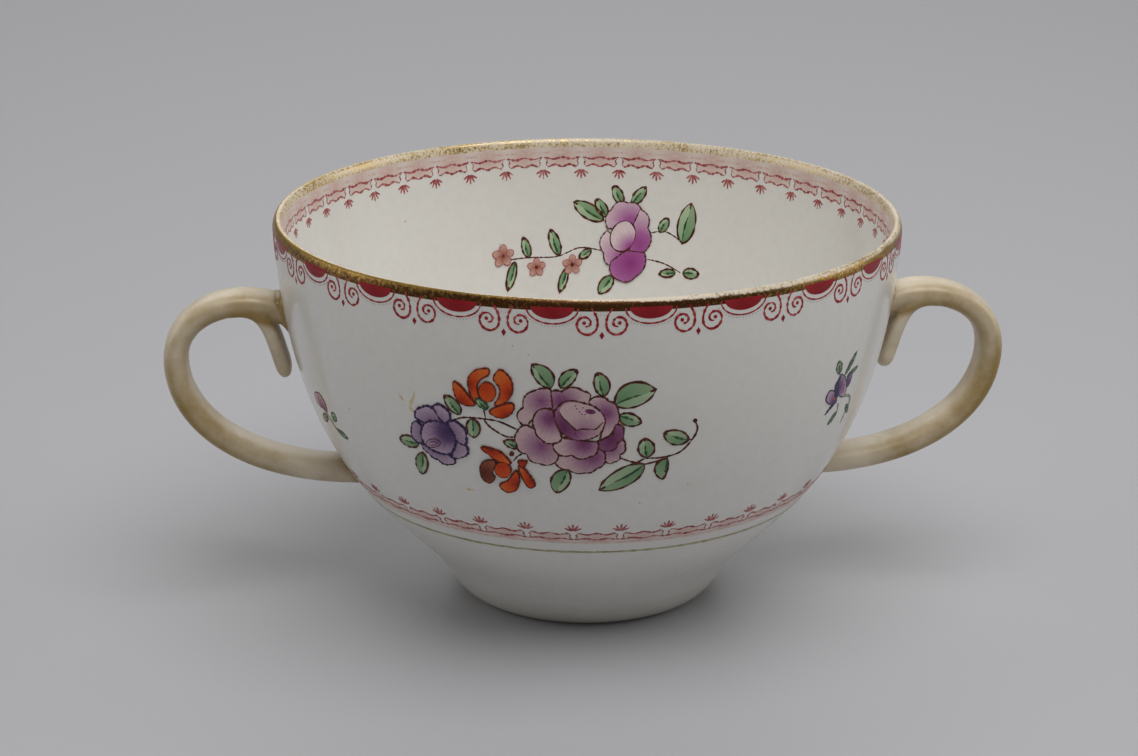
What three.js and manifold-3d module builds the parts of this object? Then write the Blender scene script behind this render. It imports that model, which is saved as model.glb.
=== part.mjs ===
// Two-handled soup cup of glazed earthenware: a jiggered bowl on a turned foot ring, a gilded lip, and two
// strap handles, each luted to the wall with clay slip at its upper and its lower end.
// Millimetres, +Z up, origin on the table under the middle of the foot, handles along X.
import * as THREE from "three";
import { mergeVertices } from "three/addons/utils/BufferGeometryUtils.js";
import Module from "manifold-3d";

const wasm = await Module();
wasm.setup();

// Bowl
const cupHeight = 63.2; // table to the top of the lip
const rimRadius = 50; // outside of the wall under the lip
const bodyWall = 2.6; // wall thickness round the belly
const rimWall = 1.6; // wall thickness under the lip
const rimTaper = 22; // height over which the wall thins towards the lip
const floorThickness = 3.4; // bowl floor over the foot
const insideCorner = 8; // length of the soft corner between floor and wall, along each
const wallFootAngle = THREE.MathUtils.degToRad(57); // steepness of the wall where it leaves the foot
const wallFootPull = 10.9; // how far the wall holds that direction
const wallRimAngle = THREE.MathUtils.degToRad(2.7); // lean of the wall away from upright under the lip
const wallRimPull = 40.8; // how far down the wall stays close to upright

// Lip
const lipHeight = 1.6; // depth of the gilded lip

// Foot ring
const footHeight = 5.6; // table to the underside of the bowl
const footTopRadius = 24.2; // outside, under the bowl
const footRingWidth = 7; // from its outside to the recess, under the bowl
const footRound = 1.6; // height of the rounding from the outside onto the table
const footEdge = 0.5; // softened inner edge of the resting face

// Handles
const handleReach = 18.1; // outermost point of a handle beyond the rim radius
const upperRootHeight = 47.4; // middle of the strap where it leaves the wall
const lowerRootHeight = 20.3; // middle of the strap where it returns to the wall
const loopMiddleHeight = 39.4; // height of the outermost point
const crestAngle = THREE.MathUtils.degToRad(29); // rise of the strap out of the wall
const crestPull = 7.2; // how far the strap holds that rise
const shoulderPull = 9.1; // how far above its outermost point it stays upright
const bellyPull = 9.1; // how far below
const tailAngle = THREE.MathUtils.degToRad(1.8); // rise of the strap's lower end, going outwards
const tailPull = 19.6; // how far out it holds that direction
const strapThicknessTop = 4.0; // in the plane of the loop
const strapThicknessLow = 4.0;
const strapWidthTop = 7.6; // across the loop
const strapWidthLow = 6.8;
const strapSquareness = 0.72; // 1 is an ellipse, less comes closer to a rectangle
const rootSink = 7; // the strap runs on this far past the wall's outside before it is cut
const rootReach = 10; // length of strap outside the wall that the slip can take hold of
const spurTipHeight = 36.3; // lowest point of the spur that hangs from the upper end
const spurGap = 1.2; // between the spur's tip and the wall
const spurThickness = 2.6;
const spurTipWidth = 5.8;
const spurTipShare = 0.15; // what is left of the section at the very end of the round tip
const spurSpring = 8.8; // how far out from the wall the spur's underside leaves the strap's
const spurBend = 6.2; // how far it holds the strap's direction before it turns down
const spurFall = 8.2; // how far it runs along the wall

// Joints
const jointGap = 0.3; // between pieces that follow a curved neighbour
const slipThickness = 0.8;
const slipCollar = 0.6; // how far the slip shows round the strap

// Facets
const turnSegments = 72;
const wallSteps = 14;
const cornerSteps = 4;
const lipSteps = 8;
const loopSteps = 34;
const spurSteps = 16;
const slipSteps = 8;
const strapSides = 16;

const seatHeight = cupHeight - lipHeight;
const floorHeight = footHeight + floorThickness;
const footInsideRadius = footTopRadius - footRingWidth; // the recess
const point = (x, y) => new THREE.Vector2(x, y);

// Halves the interval until step(value) changes from below to above the target; step has to rise.
function solve(step, target, low, high) {
  for (let i = 0; i < 40; i++) {
    const middle = (low + high) / 2;
    if (step(middle) < target) low = middle;
    else high = middle;
  }
  return (low + high) / 2;
}

// The outside of the wall, from the foot to the seat of the lip: x is the radius, y the height.
const wall = new THREE.CubicBezierCurve(
  point(footTopRadius, footHeight),
  point(
    footTopRadius + wallFootPull * Math.cos(wallFootAngle),
    footHeight + wallFootPull * Math.sin(wallFootAngle),
  ),
  point(
    rimRadius - wallRimPull * Math.sin(wallRimAngle),
    seatHeight - wallRimPull * Math.cos(wallRimAngle),
  ),
  point(rimRadius, seatHeight),
);

// A point of the wall moved out by a distance square to the surface, or inwards where it is negative.
function besideWall(t, distance) {
  const along = wall.getTangent(t);
  return wall.getPoint(t).add(point(along.y, -along.x).multiplyScalar(distance));
}

// The inside of the wall.
function insideWall(t) {
  const belowSeat = seatHeight - wall.getPoint(t).y;
  const share = THREE.MathUtils.smoothstep(belowSeat, 0, rimTaper);
  return besideWall(t, -THREE.MathUtils.lerp(rimWall, bodyWall, share));
}

function wallAt(height) {
  return solve((t) => wall.getPoint(t).y, height, 0, 1);
}

function wallRadius(height) {
  return wall.getPoint(wallAt(height)).x;
}

function turned(profile) {
  return new THREE.LatheGeometry(profile, turnSegments).rotateX(Math.PI / 2);
}

function solidOf(geometry) {
  const bare = geometry.clone();
  bare.deleteAttribute("normal");
  bare.deleteAttribute("uv");
  const merged = mergeVertices(bare);
  return new wasm.Manifold(
    new wasm.Mesh({
      numProp: 3,
      vertProperties: merged.attributes.position.array,
      triVerts: new Uint32Array(merged.index.array),
    }),
  );
}

function geometryOf(solid) {
  const mesh = solid.getMesh();
  return new THREE.BufferGeometry()
    .setAttribute("position", new THREE.BufferAttribute(mesh.vertProperties, 3))
    .setIndex(new THREE.BufferAttribute(mesh.triVerts, 1));
}

function bowlGeometry() {
  const outside = wall.getPoints(wallSteps);
  const floorT = solve((t) => insideWall(t).y, floorHeight, 0, 1);
  const corner = insideWall(floorT);
  const cornerT = solve((t) => insideWall(t).distanceTo(corner), insideCorner, floorT, 1);
  const inside = [];
  for (let i = 0; i < wallSteps; i++) {
    inside.push(insideWall(THREE.MathUtils.lerp(1, cornerT, i / wallSteps)));
  }
  inside[0].set(rimRadius - rimWall, seatHeight);
  const softCorner = new THREE.QuadraticBezierCurve(
    insideWall(cornerT),
    corner,
    point(corner.x - insideCorner, floorHeight),
  );
  return turned([
    point(0, footHeight),
    ...outside,
    ...inside,
    ...softCorner.getPoints(cornerSteps),
    point(0, floorHeight),
  ]);
}

// The foot's outside goes on down in the wall's own direction, then rounds onto the table.
function footGeometry() {
  const slope = 1 / Math.tan(wallFootAngle);
  const toe = point(footTopRadius - footHeight * slope, 0);
  const rounding = new THREE.QuadraticBezierCurve(
    point(toe.x - footRound * slope, 0),
    toe,
    point(toe.x + footRound * slope, footRound),
  );
  return turned([
    point(footInsideRadius, footHeight),
    point(footInsideRadius, footEdge),
    point(footInsideRadius + footEdge, 0),
    ...rounding.getPoints(cornerSteps),
    point(footTopRadius, footHeight),
    point(footInsideRadius, footHeight),
  ]);
}

// A rounded cap of the wall's own thickness on the bowl's flat upper edge.
function lipGeometry() {
  const crown = [];
  for (let i = 0; i <= lipSteps; i++) {
    const angle = (Math.PI * i) / lipSteps;
    crown.push(
      point(
        rimRadius - (rimWall / 2) * (1 - Math.cos(angle)),
        seatHeight + lipHeight * Math.sin(angle),
      ),
    );
  }
  return turned([...crown, crown[0].clone()]);
}

// A closed strap along a path in the XZ plane, with a rounded rectangular section. The sizes are functions of
// how far along the path a section lies, from 0 to 1.
function strap(path, steps, thicknessAt, widthAt, from = 0, to = 1) {
  const positions = [];
  const index = [];
  const rounded = (value) => Math.sign(value) * Math.abs(value) ** strapSquareness;
  for (let i = 0; i <= steps; i++) {
    const u = THREE.MathUtils.lerp(from, to, i / steps);
    const middle = path.getPoint(u);
    const along = path.getTangent(u);
    for (let j = 0; j < strapSides; j++) {
      const angle = (2 * Math.PI * j) / strapSides;
      const out = (rounded(Math.cos(angle)) * thicknessAt(u)) / 2;
      const side = (-rounded(Math.sin(angle)) * widthAt(u)) / 2;
      positions.push(middle.x - along.y * out, side, middle.y + along.x * out);
    }
  }
  for (let i = 0; i < steps; i++) {
    for (let j = 0; j < strapSides; j++) {
      const next = (j + 1) % strapSides;
      const [a, b] = [i * strapSides + j, i * strapSides + next];
      index.push(a, b, a + strapSides, b, b + strapSides, a + strapSides);
    }
  }
  const last = steps * strapSides;
  for (let j = 1; j < strapSides - 1; j++) {
    index.push(0, j + 1, j, last, last + j, last + j + 1);
  }
  return new THREE.BufferGeometry()
    .setAttribute("position", new THREE.Float32BufferAttribute(positions, 3))
    .setIndex(index);
}

// The middle line of a handle: out of the wall, over the shoulder, round the belly and back into the wall.
const loop = new THREE.CurvePath();
const upperRoot = point(wallRadius(upperRootHeight), upperRootHeight);
const lowerRoot = point(wallRadius(lowerRootHeight), lowerRootHeight);
const crest = point(Math.cos(crestAngle), Math.sin(crestAngle));
const tail = point(Math.cos(tailAngle), Math.sin(tailAngle));
const outermost = point(
  rimRadius + handleReach - (strapThicknessTop + strapThicknessLow) / 4,
  loopMiddleHeight,
);
const beside = (origin, direction, distance) => origin.clone().addScaledVector(direction, distance);
loop.add(new THREE.LineCurve(beside(upperRoot, crest, -rootSink), upperRoot));
loop.add(
  new THREE.CubicBezierCurve(
    upperRoot,
    beside(upperRoot, crest, crestPull),
    point(outermost.x, outermost.y + shoulderPull),
    outermost,
  ),
);
loop.add(
  new THREE.CubicBezierCurve(
    outermost,
    point(outermost.x, outermost.y - bellyPull),
    beside(lowerRoot, tail, tailPull),
    lowerRoot,
  ),
);
loop.add(new THREE.LineCurve(lowerRoot, beside(lowerRoot, tail, -rootSink)));
const loopThickness = (u) => THREE.MathUtils.lerp(strapThicknessTop, strapThicknessLow, u);
const loopWidth = (u) => THREE.MathUtils.lerp(strapWidthTop, strapWidthLow, u);

// The spur leaves the strap's underside, turns down, hangs along the wall and ends in a round tip.
function spurGeometry() {
  const springAt = (rootSink + spurSpring) / loop.getLength();
  const along = loop.getTangent(springAt);
  const inset = (loopThickness(springAt) - spurThickness) / 2;
  const spring = beside(loop.getPoint(springAt), point(along.y, -along.x), inset);
  const tip = point(wallRadius(spurTipHeight) + spurGap + spurThickness / 2, spurTipHeight);
  const path = new THREE.CubicBezierCurve(
    spring,
    beside(spring, along, -spurBend),
    beside(tip, wall.getTangent(wallAt(spurTipHeight)), spurFall),
    tip,
  );
  const roundFrom = 1 - spurThickness / path.getLength();
  const round = (u) => {
    const share = Math.max(u - roundFrom, 0) / (1 - roundFrom);
    return Math.max(Math.sqrt(1 - share ** 2), spurTipShare);
  };
  return strap(
    path,
    spurSteps,
    (u) => spurThickness * round(u),
    (u) => THREE.MathUtils.lerp(loopWidth(springAt), spurTipWidth, u) * round(u),
  );
}

// Everything up to a distance outside the wall, to cut pieces that follow it.
function withinWall(distance) {
  const profile = [];
  for (let i = 0; i <= wallSteps; i++) {
    profile.push(besideWall(i / wallSteps, distance));
  }
  return solidOf(
    turned([point(0, profile[0].y), ...profile, point(0, profile[wallSteps].y)]),
  );
}

// One end of the strap, thickened all round by a margin.
function rootBlock(from, to, margin) {
  return solidOf(
    strap(
      loop,
      slipSteps,
      (u) => loopThickness(u) + 2 * margin,
      (u) => loopWidth(u) + 2 * margin,
      from,
      to,
    ),
  );
}

const rootShare = (rootSink + rootReach) / loop.getLength();
const rootEnds = { upper: [0, rootShare], lower: [1 - rootShare, 1] };

function slipGeometry(end) {
  const layer = withinWall(jointGap + slipThickness).subtract(withinWall(jointGap));
  return geometryOf(rootBlock(...rootEnds[end], slipCollar).intersect(layer));
}

function handleGeometry() {
  const joined = solidOf(strap(loop, loopSteps, loopThickness, loopWidth)).add(solidOf(spurGeometry()));
  const slipRoom = withinWall(slipThickness + 2 * jointGap);
  let handle = joined.subtract(withinWall(jointGap));
  for (const end of Object.values(rootEnds)) {
    handle = handle.subtract(rootBlock(...end, slipCollar + jointGap).intersect(slipRoom));
  }
  return geometryOf(handle);
}

const glaze = new THREE.MeshStandardMaterial({ color: 0xe6e3dc, roughness: 0.18, metalness: 0 });
const gold = new THREE.MeshStandardMaterial({ color: 0x9a7a45, roughness: 0.35, metalness: 0.8 });
const wornGilt = new THREE.MeshStandardMaterial({ color: 0xcfc3a8, roughness: 0.4, metalness: 0.1 });

const cup = new THREE.Group();

function place(parent, name, geometry, material) {
  geometry.computeVertexNormals();
  const mesh = new THREE.Mesh(geometry, material);
  mesh.name = name;
  parent.add(mesh);
}

place(cup, "bowl", bowlGeometry(), glaze);
place(cup, "foot_ring", footGeometry(), glaze);
place(cup, "gilt_lip", lipGeometry(), gold);
for (const [side, turn] of [
  ["right", 0],
  ["left", Math.PI],
]) {
  const group = new THREE.Group();
  group.rotation.z = turn;
  place(group, `${side}_handle`, handleGeometry(), wornGilt);
  for (const end of Object.keys(rootEnds)) {
    place(group, `${side}_${end}_slip`, slipGeometry(end), glaze);
  }
  cup.add(group);
}

export default cup;
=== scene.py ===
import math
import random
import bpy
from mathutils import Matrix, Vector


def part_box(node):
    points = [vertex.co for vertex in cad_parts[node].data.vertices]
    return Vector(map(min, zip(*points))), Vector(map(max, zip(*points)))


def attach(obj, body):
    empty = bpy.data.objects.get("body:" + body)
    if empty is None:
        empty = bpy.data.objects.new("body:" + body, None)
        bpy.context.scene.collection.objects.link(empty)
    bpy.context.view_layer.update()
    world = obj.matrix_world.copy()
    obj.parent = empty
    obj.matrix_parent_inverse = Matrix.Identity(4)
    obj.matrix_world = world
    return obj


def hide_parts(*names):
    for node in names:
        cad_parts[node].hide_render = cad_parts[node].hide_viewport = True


bl_info = {
    "name": "Two-handled soup cup",
    "version": (1, 0, 0),
    "blender": (4, 5, 0),
    "location": "View3D > Sidebar > Cup",
    "description": "Glazed, gilded and painted surface of a two-handled cup, built around its packed solids",
    "category": "Object",
}

import bpy
import numpy as np
from bpy.props import FloatProperty, FloatVectorProperty, IntProperty, PointerProperty
from mathutils import Matrix, Vector
from mathutils.geometry import delaunay_2d_cdt

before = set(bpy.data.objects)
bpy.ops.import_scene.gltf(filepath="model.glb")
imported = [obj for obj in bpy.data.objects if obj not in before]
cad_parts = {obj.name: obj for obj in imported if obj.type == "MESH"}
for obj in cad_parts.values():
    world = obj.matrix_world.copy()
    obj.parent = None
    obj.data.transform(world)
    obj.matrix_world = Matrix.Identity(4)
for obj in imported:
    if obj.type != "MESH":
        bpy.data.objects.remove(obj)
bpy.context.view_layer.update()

# Meshes and properties are in metres. Painted shapes are drawn in millimetres and laid on the wall.
MM = 0.001
BODY = "root"
BOWL_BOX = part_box("bowl")
LIP_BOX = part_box("gilt_lip")
FOOT_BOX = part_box("foot_ring")
HANDLE_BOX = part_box("right_handle")
IMAGE_WIDTH = 1138  # pixels across the picture that the camera frames


def length(name, description, default):
    return FloatProperty(name=name, description=description, default=default, unit="LENGTH", precision=5)


def angle(name, description, degrees):
    turn = math.radians(degrees)
    return FloatProperty(name=name, description=description, default=turn, subtype="ANGLE")


def power(name, description, watts):
    return FloatProperty(name=name, description=description, default=watts, unit="POWER")


def number(name, description, default):
    return FloatProperty(name=name, description=description, default=default)


def whole_number(name, description, default):
    return IntProperty(name=name, description=description, default=default, min=3)


def linear(byte):
    """A screen value from 0 to 255 as linear light."""
    share = byte / 255
    return share / 12.92 if share <= 0.04045 else ((share + 0.055) / 1.055) ** 2.4


def colour(name, description, *screen):
    tint = [linear(byte) for byte in screen]
    return FloatVectorProperty(
        name=name, description=description, default=tint, subtype="COLOR", min=0, max=1
    )


class CupSizes(bpy.types.PropertyGroup):
    """Sizes of the turned bowl, its foot and its lip"""

    rim_radius: length("Rim radius", "Outside of the wall under the lip", BOWL_BOX[1].x)
    seat_height: length("Seat height", "Upper edge of the bowl, under the lip", BOWL_BOX[1].z)
    cup_height: length("Cup height", "Table to the top of the lip", LIP_BOX[1].z)
    foot_height: length("Foot height", "Table to the underside of the bowl", BOWL_BOX[0].z)
    foot_top_radius: length("Foot top radius", "Outside of the foot under the bowl", FOOT_BOX[1].x)
    foot_inside_radius: length("Foot inside radius", "The recess under the bowl", 0.0172)
    foot_round: length("Foot rounding", "Height of the rounding onto the table", 0.0028)
    foot_edge: length("Foot edge", "Softened inner edge of the resting face", 0.0005)
    wall: length("Wall", "Thickness of the wall round the belly", 0.0026)
    rim_wall: length("Rim wall", "Thickness of the wall under the lip", 0.0016)
    rim_taper: length("Rim taper", "Height over which the wall thins towards the lip", 0.022)
    floor: length("Floor", "Thickness of the floor over the foot", 0.0034)
    inside_corner: length("Inside corner", "Softening between floor and wall", 0.008)
    wall_foot_angle: angle("Wall angle at foot", "Steepness of the wall where it leaves the foot", 57)
    wall_foot_pull: length("Wall pull at foot", "How far the wall holds that direction", 0.0109)
    wall_rim_angle: angle("Wall lean at rim", "Lean of the wall under the lip", 2.7)
    wall_rim_pull: length("Wall pull at rim", "How far down the wall stays close to upright", 0.0408)


class HandleSizes(bpy.types.PropertyGroup):
    """Sizes of the strap handles, their spurs and their joints"""

    outermost: length("Outermost point", "Outside of the loop from the middle of the cup", HANDLE_BOX[1].x)
    upper_root: length("Upper root height", "Middle of the strap where it leaves the wall", 0.0474)
    lower_root: length("Lower root height", "Middle of the strap where it returns", 0.0203)
    middle: length("Loop middle height", "Height of the outermost point", 0.0394)
    crest_angle: angle("Crest angle", "Rise of the strap out of the wall", 29)
    crest_pull: length("Crest pull", "How far the strap holds that rise", 0.0072)
    shoulder_pull: length("Shoulder pull", "How far above its outermost point it stays upright", 0.0091)
    belly_pull: length("Belly pull", "How far below its outermost point it stays upright", 0.0091)
    tail_angle: angle("Tail angle", "Rise of the lower end, going outwards", 1.8)
    tail_pull: length("Tail pull", "How far out it holds that direction", 0.0196)
    thickness_top: length("Thickness at top", "Strap in the plane of the loop", 0.004)
    thickness_low: length("Thickness below", "Strap in the plane of the loop", 0.004)
    width_top: length("Width at top", "Strap across the loop", 0.0076)
    width_low: length("Width below", "Strap across the loop", 0.0068)
    spur_tip: length("Spur tip height", "Lowest point of the spur", 0.0363)
    spur_thickness: length("Spur thickness", "Spur in the plane of the loop", 0.0026)
    spur_gap: length("Spur gap", "Between the spur's tip and the wall", 0.0012)
    spur_spring: length("Spur spring", "Along the strap from the wall to where it springs", 0.0088)
    spur_bend: length("Spur bend", "How far back it holds the strap's direction", 0.0062)
    spur_fall: length("Spur fall", "How far above its tip it hangs along the wall", 0.0082)
    fillet: length("Joint fillet", "Size of the slip rounding between strap and wall", 0.0012)


class PaintSizes(bpy.types.PropertyGroup):
    """Layout of the painted borders and sprays"""

    rim_repeats: whole_number("Rim repeats", "Scroll pairs round the rim", 22)
    rim_start: angle("Rim start", "Turn of the first scroll pair from the front", -1.95)
    rim_height: length("Rim border height", "Upper edge of the scroll border", 0.06205)
    low_repeats: whole_number("Low repeats", "Fans round the lower border", 35)
    low_start: angle("Low start", "Turn of the first cartouche from the front", -1.94)
    low_height: length("Lower border height", "Middle of the fans", 0.0247)
    inside_repeats: whole_number("Inside repeats", "Fans round the inside of the rim", 45)
    inside_start: angle("Inside start", "Turn of the first cartouche inside from the front", -3.2)
    inside_height: length("Inside border height", "Middle of the fans inside", 0.0571)
    band_height: length("Band height", "Thin band under the lower border", 0.01935)
    spray_turn: angle("Spray turn", "Middle of the front spray from the front", -7)
    spray_height: length("Spray height", "Middle of the front spray", 0.0433)
    violet_turn: angle("Violet sprig turn", "Violet sprig beside the right handle, from the front", 50.2)
    violet_height: length("Violet sprig height", "Middle of the violet sprigs", 0.0423)
    rose_turn: angle("Rose sprig turn", "Rose sprig beside the left handle, from the front", -63.6)
    rose_height: length("Rose sprig height", "Middle of the rose sprigs", 0.0365)
    trail_turn: angle("Inside spray turn", "Middle of the spray inside, from the front", 167)
    trail_height: length("Inside spray height", "Middle of the spray inside", 0.0457)


class CupColours(bpy.types.PropertyGroup):
    """Colours of the glaze and the gilding"""

    glaze: colour("Glaze", "Off-white body glaze", 231, 229, 223)
    # Also the colour of the painted shade towards the table.
    stain_and_low_shade: colour("Stain", "Age stains in the glaze", 203, 192, 166)
    speck: colour("Speck", "Fine specks in the glaze", 120, 104, 84)
    # The lip's polish layer picks between gilt and bronze: partly darkened gilding, partly a painted
    # reflection and a painted highlight.
    gilt: colour("Gilt", "Bright gilding of the lip", 206, 170, 88)
    bronze: colour("Bronze", "Darkened gilding of the lip", 84, 50, 22)
    ochre: colour("Ochre", "Gilding left on the handles", 158, 130, 71)
    cream: colour("Cream", "Glaze where the gilding is rubbed off", 225, 211, 186)


class StageSettings(bpy.types.PropertyGroup):
    """Floor, lights and camera"""

    floor: colour("Floor", "Plain pale floor", 183, 183, 186)
    distance: length("Camera distance", "Camera to the middle of the cup", 0.45)
    lens: number("Lens", "Focal length in millimetres", 87.2)
    azimuth: angle("Azimuth", "Camera turn round the cup", -4.5)
    elevation: angle("Elevation", "Camera height above the horizon", 18.83)
    roll: angle("Roll", "Camera roll", 0.24)
    aim_left: number("Aim left", "Pixels by which the camera aims left of the cup's middle", 17.1)
    aim_up: number("Aim up", "Pixels by which the camera aims above the cup's middle", 19.5)
    key_power: power("Key power", "Soft lamp overhead", 4.5)
    right_power: power("Right power", "Lamp low on the right", 3.1)
    left_power: power("Left power", "Lamp low on the left", 2.65)
    back_power: power("Back power", "Lamp over the backdrop", 11.0)
    sky: number("Sky", "Strength of the light from all round", 0.15)
    backdrop: number("Backdrop", "Brightness of the sky as it is seen", 0.44)


# Curves


def bezier(corners, share):
    """A point on a Bezier curve with any number of corners."""
    work = [Vector(corner) for corner in corners]
    while len(work) > 1:
        work = [a.lerp(b, share) for a, b in zip(work, work[1:])]
    return work[0]


def bezier_line(corners, steps):
    """Points along a Bezier curve, both ends included."""
    return [bezier(corners, i / steps) for i in range(steps + 1)]


def smooth(points, closed=False, step=0.3):
    """Points about a step apart along a smooth curve through flat points."""
    points = [Vector(p) for p in points]
    count = len(points)
    made = []
    for i in range(count if closed else count - 1):
        around = range(i - 1, i + 3)
        places = [k % count if closed else min(max(k, 0), count - 1) for k in around]
        a, b, c, d = (points[k] for k in places)
        square, cube = 2 * a - 5 * b + 4 * c - d, 3 * b - a - 3 * c + d
        pieces = max(2, math.ceil((c - b).length / step))
        for t in (j / pieces for j in range(pieces)):
            made.append(0.5 * (2 * b + (c - a) * t + square * t**2 + cube * t**3))
    return made if closed else [*made, points[-1]]


def lobed(corners, step=0.3):
    """A closed outline of corners (right, up) or (right, up, bulge), each bulge a share of the next lobe."""
    points = [Vector(corner[:2]) for corner in corners]
    middle = sum(points, Vector((0, 0))) / len(points)
    made = []
    for i, a in enumerate(points):
        b = points[(i + 1) % len(points)]
        along = b - a
        out = Vector((along.y, -along.x))
        if out.dot((a + b) / 2 - middle) < 0:
            out = -out
        bulge = sum(corners[i][2:])
        pull = (a + b) / 2 + out * bulge * 2
        pieces = max(2, math.ceil(along.length / step))
        made += bezier_line((a, pull, b), pieces)[:-1]
    return made


def round_turns(steps):
    return [2 * math.pi * i / steps for i in range(steps)]


def oval(x, y, half_width, half_height, tilt=0.0, sides=20):
    """A closed oval round a flat point, its tilt in degrees."""
    lean = Matrix.Rotation(math.radians(tilt), 2)
    edge = [Vector((half_width * math.cos(a), half_height * math.sin(a))) for a in round_turns(sides)]
    return [Vector((x, y)) + lean @ p for p in edge]


LEAF_STEPS = 10
LEAF_PULLS = (0.16, 0.84)  # shares of the length at which the corners of a leaf's side stand
LEAF_BELLIES = (1.45, 1.2)  # how far out they stand, in bellies


def leaf_outline(base, tip, left, right):
    """A pointed leaf from its base to its tip and back, bellied by different amounts on its two sides."""
    along = tip - base
    side = Vector((-along.y, along.x)).normalized()
    edge = []
    for belly, way in ((-right, 1), (left, -1)):
        near = base + along * LEAF_PULLS[0] + side * belly * LEAF_BELLIES[0]
        far = base + along * LEAF_PULLS[1] + side * belly * LEAF_BELLIES[1]
        edge += bezier_line((base, near, far, tip)[::way], LEAF_STEPS)[:-1]
    return edge


def rounded(turn, squareness):
    """A point on a unit circle drawn towards a square: squareness 1 keeps the circle, less squares it."""
    return [math.copysign(abs(share) ** squareness, share) for share in (math.cos(turn), math.sin(turn))]


def flat_array(points):
    return np.array([tuple(p) for p in points])


def unit_rows(rows):
    return rows / np.maximum(np.linalg.norm(rows, axis=1), 1e-9)[:, None]


# The wall as a surface to paint on


def wall_corners(sizes):
    """Corners of the wall's outer curve, as (radius, height)."""
    foot = Vector((sizes.foot_top_radius, sizes.foot_height))
    seat = Vector((sizes.rim_radius, sizes.seat_height))
    rise = Vector((math.cos(sizes.wall_foot_angle), math.sin(sizes.wall_foot_angle)))
    lean = Vector((math.sin(sizes.wall_rim_angle), math.cos(sizes.wall_rim_angle)))
    return foot, foot + rise * sizes.wall_foot_pull, seat - lean * sizes.wall_rim_pull, seat


class Wall:
    """The cup's outside or inside from the foot to the crest of the lip, by arc length."""

    wall_steps = 600
    lip_steps = 40
    lip_start = 0.02  # radians, so that the lip's first point lies clear of the wall's last

    def __init__(self, sizes, inside=False):
        self.facing = -1 if inside else 1
        a, b, c, d = (np.array(corner) for corner in wall_corners(sizes))
        t = np.linspace(0, 1, self.wall_steps)[:, None]
        points = (1 - t) ** 3 * a + 3 * (1 - t) ** 2 * t * b + 3 * (1 - t) * t**2 * c + t**3 * d
        slope = unit_rows((1 - t) ** 2 * (b - a) + 2 * (1 - t) * t * (c - b) + t**2 * (d - c))
        out = np.column_stack((slope[:, 1], -slope[:, 0]))
        turn = np.linspace(self.lip_start, math.pi / 2, self.lip_steps)
        half, rise = sizes.rim_wall / 2, sizes.cup_height - sizes.seat_height
        middle = sizes.rim_radius - half
        lip = np.column_stack((middle + half * np.cos(turn), sizes.seat_height + rise * np.sin(turn)))
        lip_out = unit_rows(np.column_stack((np.cos(turn) / half, np.sin(turn) / rise)))
        if inside:
            below = np.clip((sizes.seat_height - points[:, 1:]) / sizes.rim_taper, 0, 1)
            share = below * below * (3 - 2 * below)
            points = points - out * (sizes.rim_wall + (sizes.wall - sizes.rim_wall) * share)
            out = -out
            lip[:, 0] = 2 * middle - lip[:, 0]
            lip_out[:, 0] *= -1
            keep = points[:, 1] > sizes.foot_height + sizes.floor
            points, out = points[keep], out[keep]
        points = np.vstack((points, lip))
        self.out = np.vstack((out, lip_out))
        self.radii, self.heights = points.T
        steps = np.linalg.norm(np.diff(points, axis=0), axis=1)
        self.arcs = np.concatenate(([0], np.cumsum(steps)))

    def arc_at(self, height):
        return float(np.interp(height, self.heights, self.arcs))

    def radius_at(self, height):
        return float(np.interp(height, self.heights, self.radii))

    def at(self, arc):
        """Radius, height and outward direction at arc lengths."""
        columns = (self.radii, self.heights, self.out[:, 0], self.out[:, 1])
        return [np.interp(arc, self.arcs, column) for column in columns]

    def profile(self, first, last, steps):
        """Points (radius, height) from one arc length to another."""
        radii, heights, *_ = self.at(np.linspace(first, last, steps + 1))
        return list(zip(radii.tolist(), heights.tolist()))


# Painted shapes, as thin closed shells of enamel

SUNK = 0.00002  # how far a shell's underside is sunk in the glaze
FIRST_LIFT = 0.00003  # height of the first layer's top over the glaze
LAYER = 0.000006  # how much higher each layer lies than the one before
GRAIN = 0.8  # largest distance between the points of a wash, in millimetres
EDGE_CLEARANCE = 0.45  # least distance of an inner point from the outline, as a share of the grain


def closely(outline, step):
    """A closed outline with points added so that none are more than a step apart."""
    made = []
    for a, b in zip(outline, [*outline[1:], outline[0]]):
        a, b = Vector(a), Vector(b)
        pieces = max(1, math.ceil((b - a).length / step))
        made += [a.lerp(b, i / pieces) for i in range(pieces)]
    return made


def filled(outline, grain):
    """Triangles that fill a flat outline, with points along and inside it at most a grain apart."""
    outline = closely(outline, grain)
    edge = flat_array(outline)
    following = np.roll(edge, -1, axis=0)
    low, high = edge.min(axis=0), edge.max(axis=0)
    inner = []
    for row in range(int((high[1] - low[1]) / grain) + 1):
        y = low[1] + (row + 0.5) * grain
        crosses = (edge[:, 1] > y) != (following[:, 1] > y)
        a, b = edge[crosses], following[crosses]
        cuts = a[:, 0] + (y - a[:, 1]) / (b[:, 1] - a[:, 1]) * (b[:, 0] - a[:, 0])
        x = low[0] + (0.5 * (row % 2)) * grain
        while x < high[0]:
            within = np.count_nonzero(cuts > x) % 2
            if within and np.hypot(*(edge - (x, y)).T).min() > EDGE_CLEARANCE * grain:
                inner.append(Vector((x, y)))
            x += grain
    count = len(outline)
    edges = [(i, (i + 1) % count) for i in range(count)]
    points, _, faces = delaunay_2d_cdt(outline + inner, edges, [], 1, 1e-5)[:3]
    flat = flat_array(points)
    triangles = []
    for a, b, c in faces:
        (ax, ay), (bx, by), (cx, cy) = flat[a], flat[b], flat[c]
        turned_left = (bx - ax) * (cy - ay) - (by - ay) * (cx - ax) > 0
        triangles.append((a, b, c) if turned_left else (a, c, b))
    return flat, triangles


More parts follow.
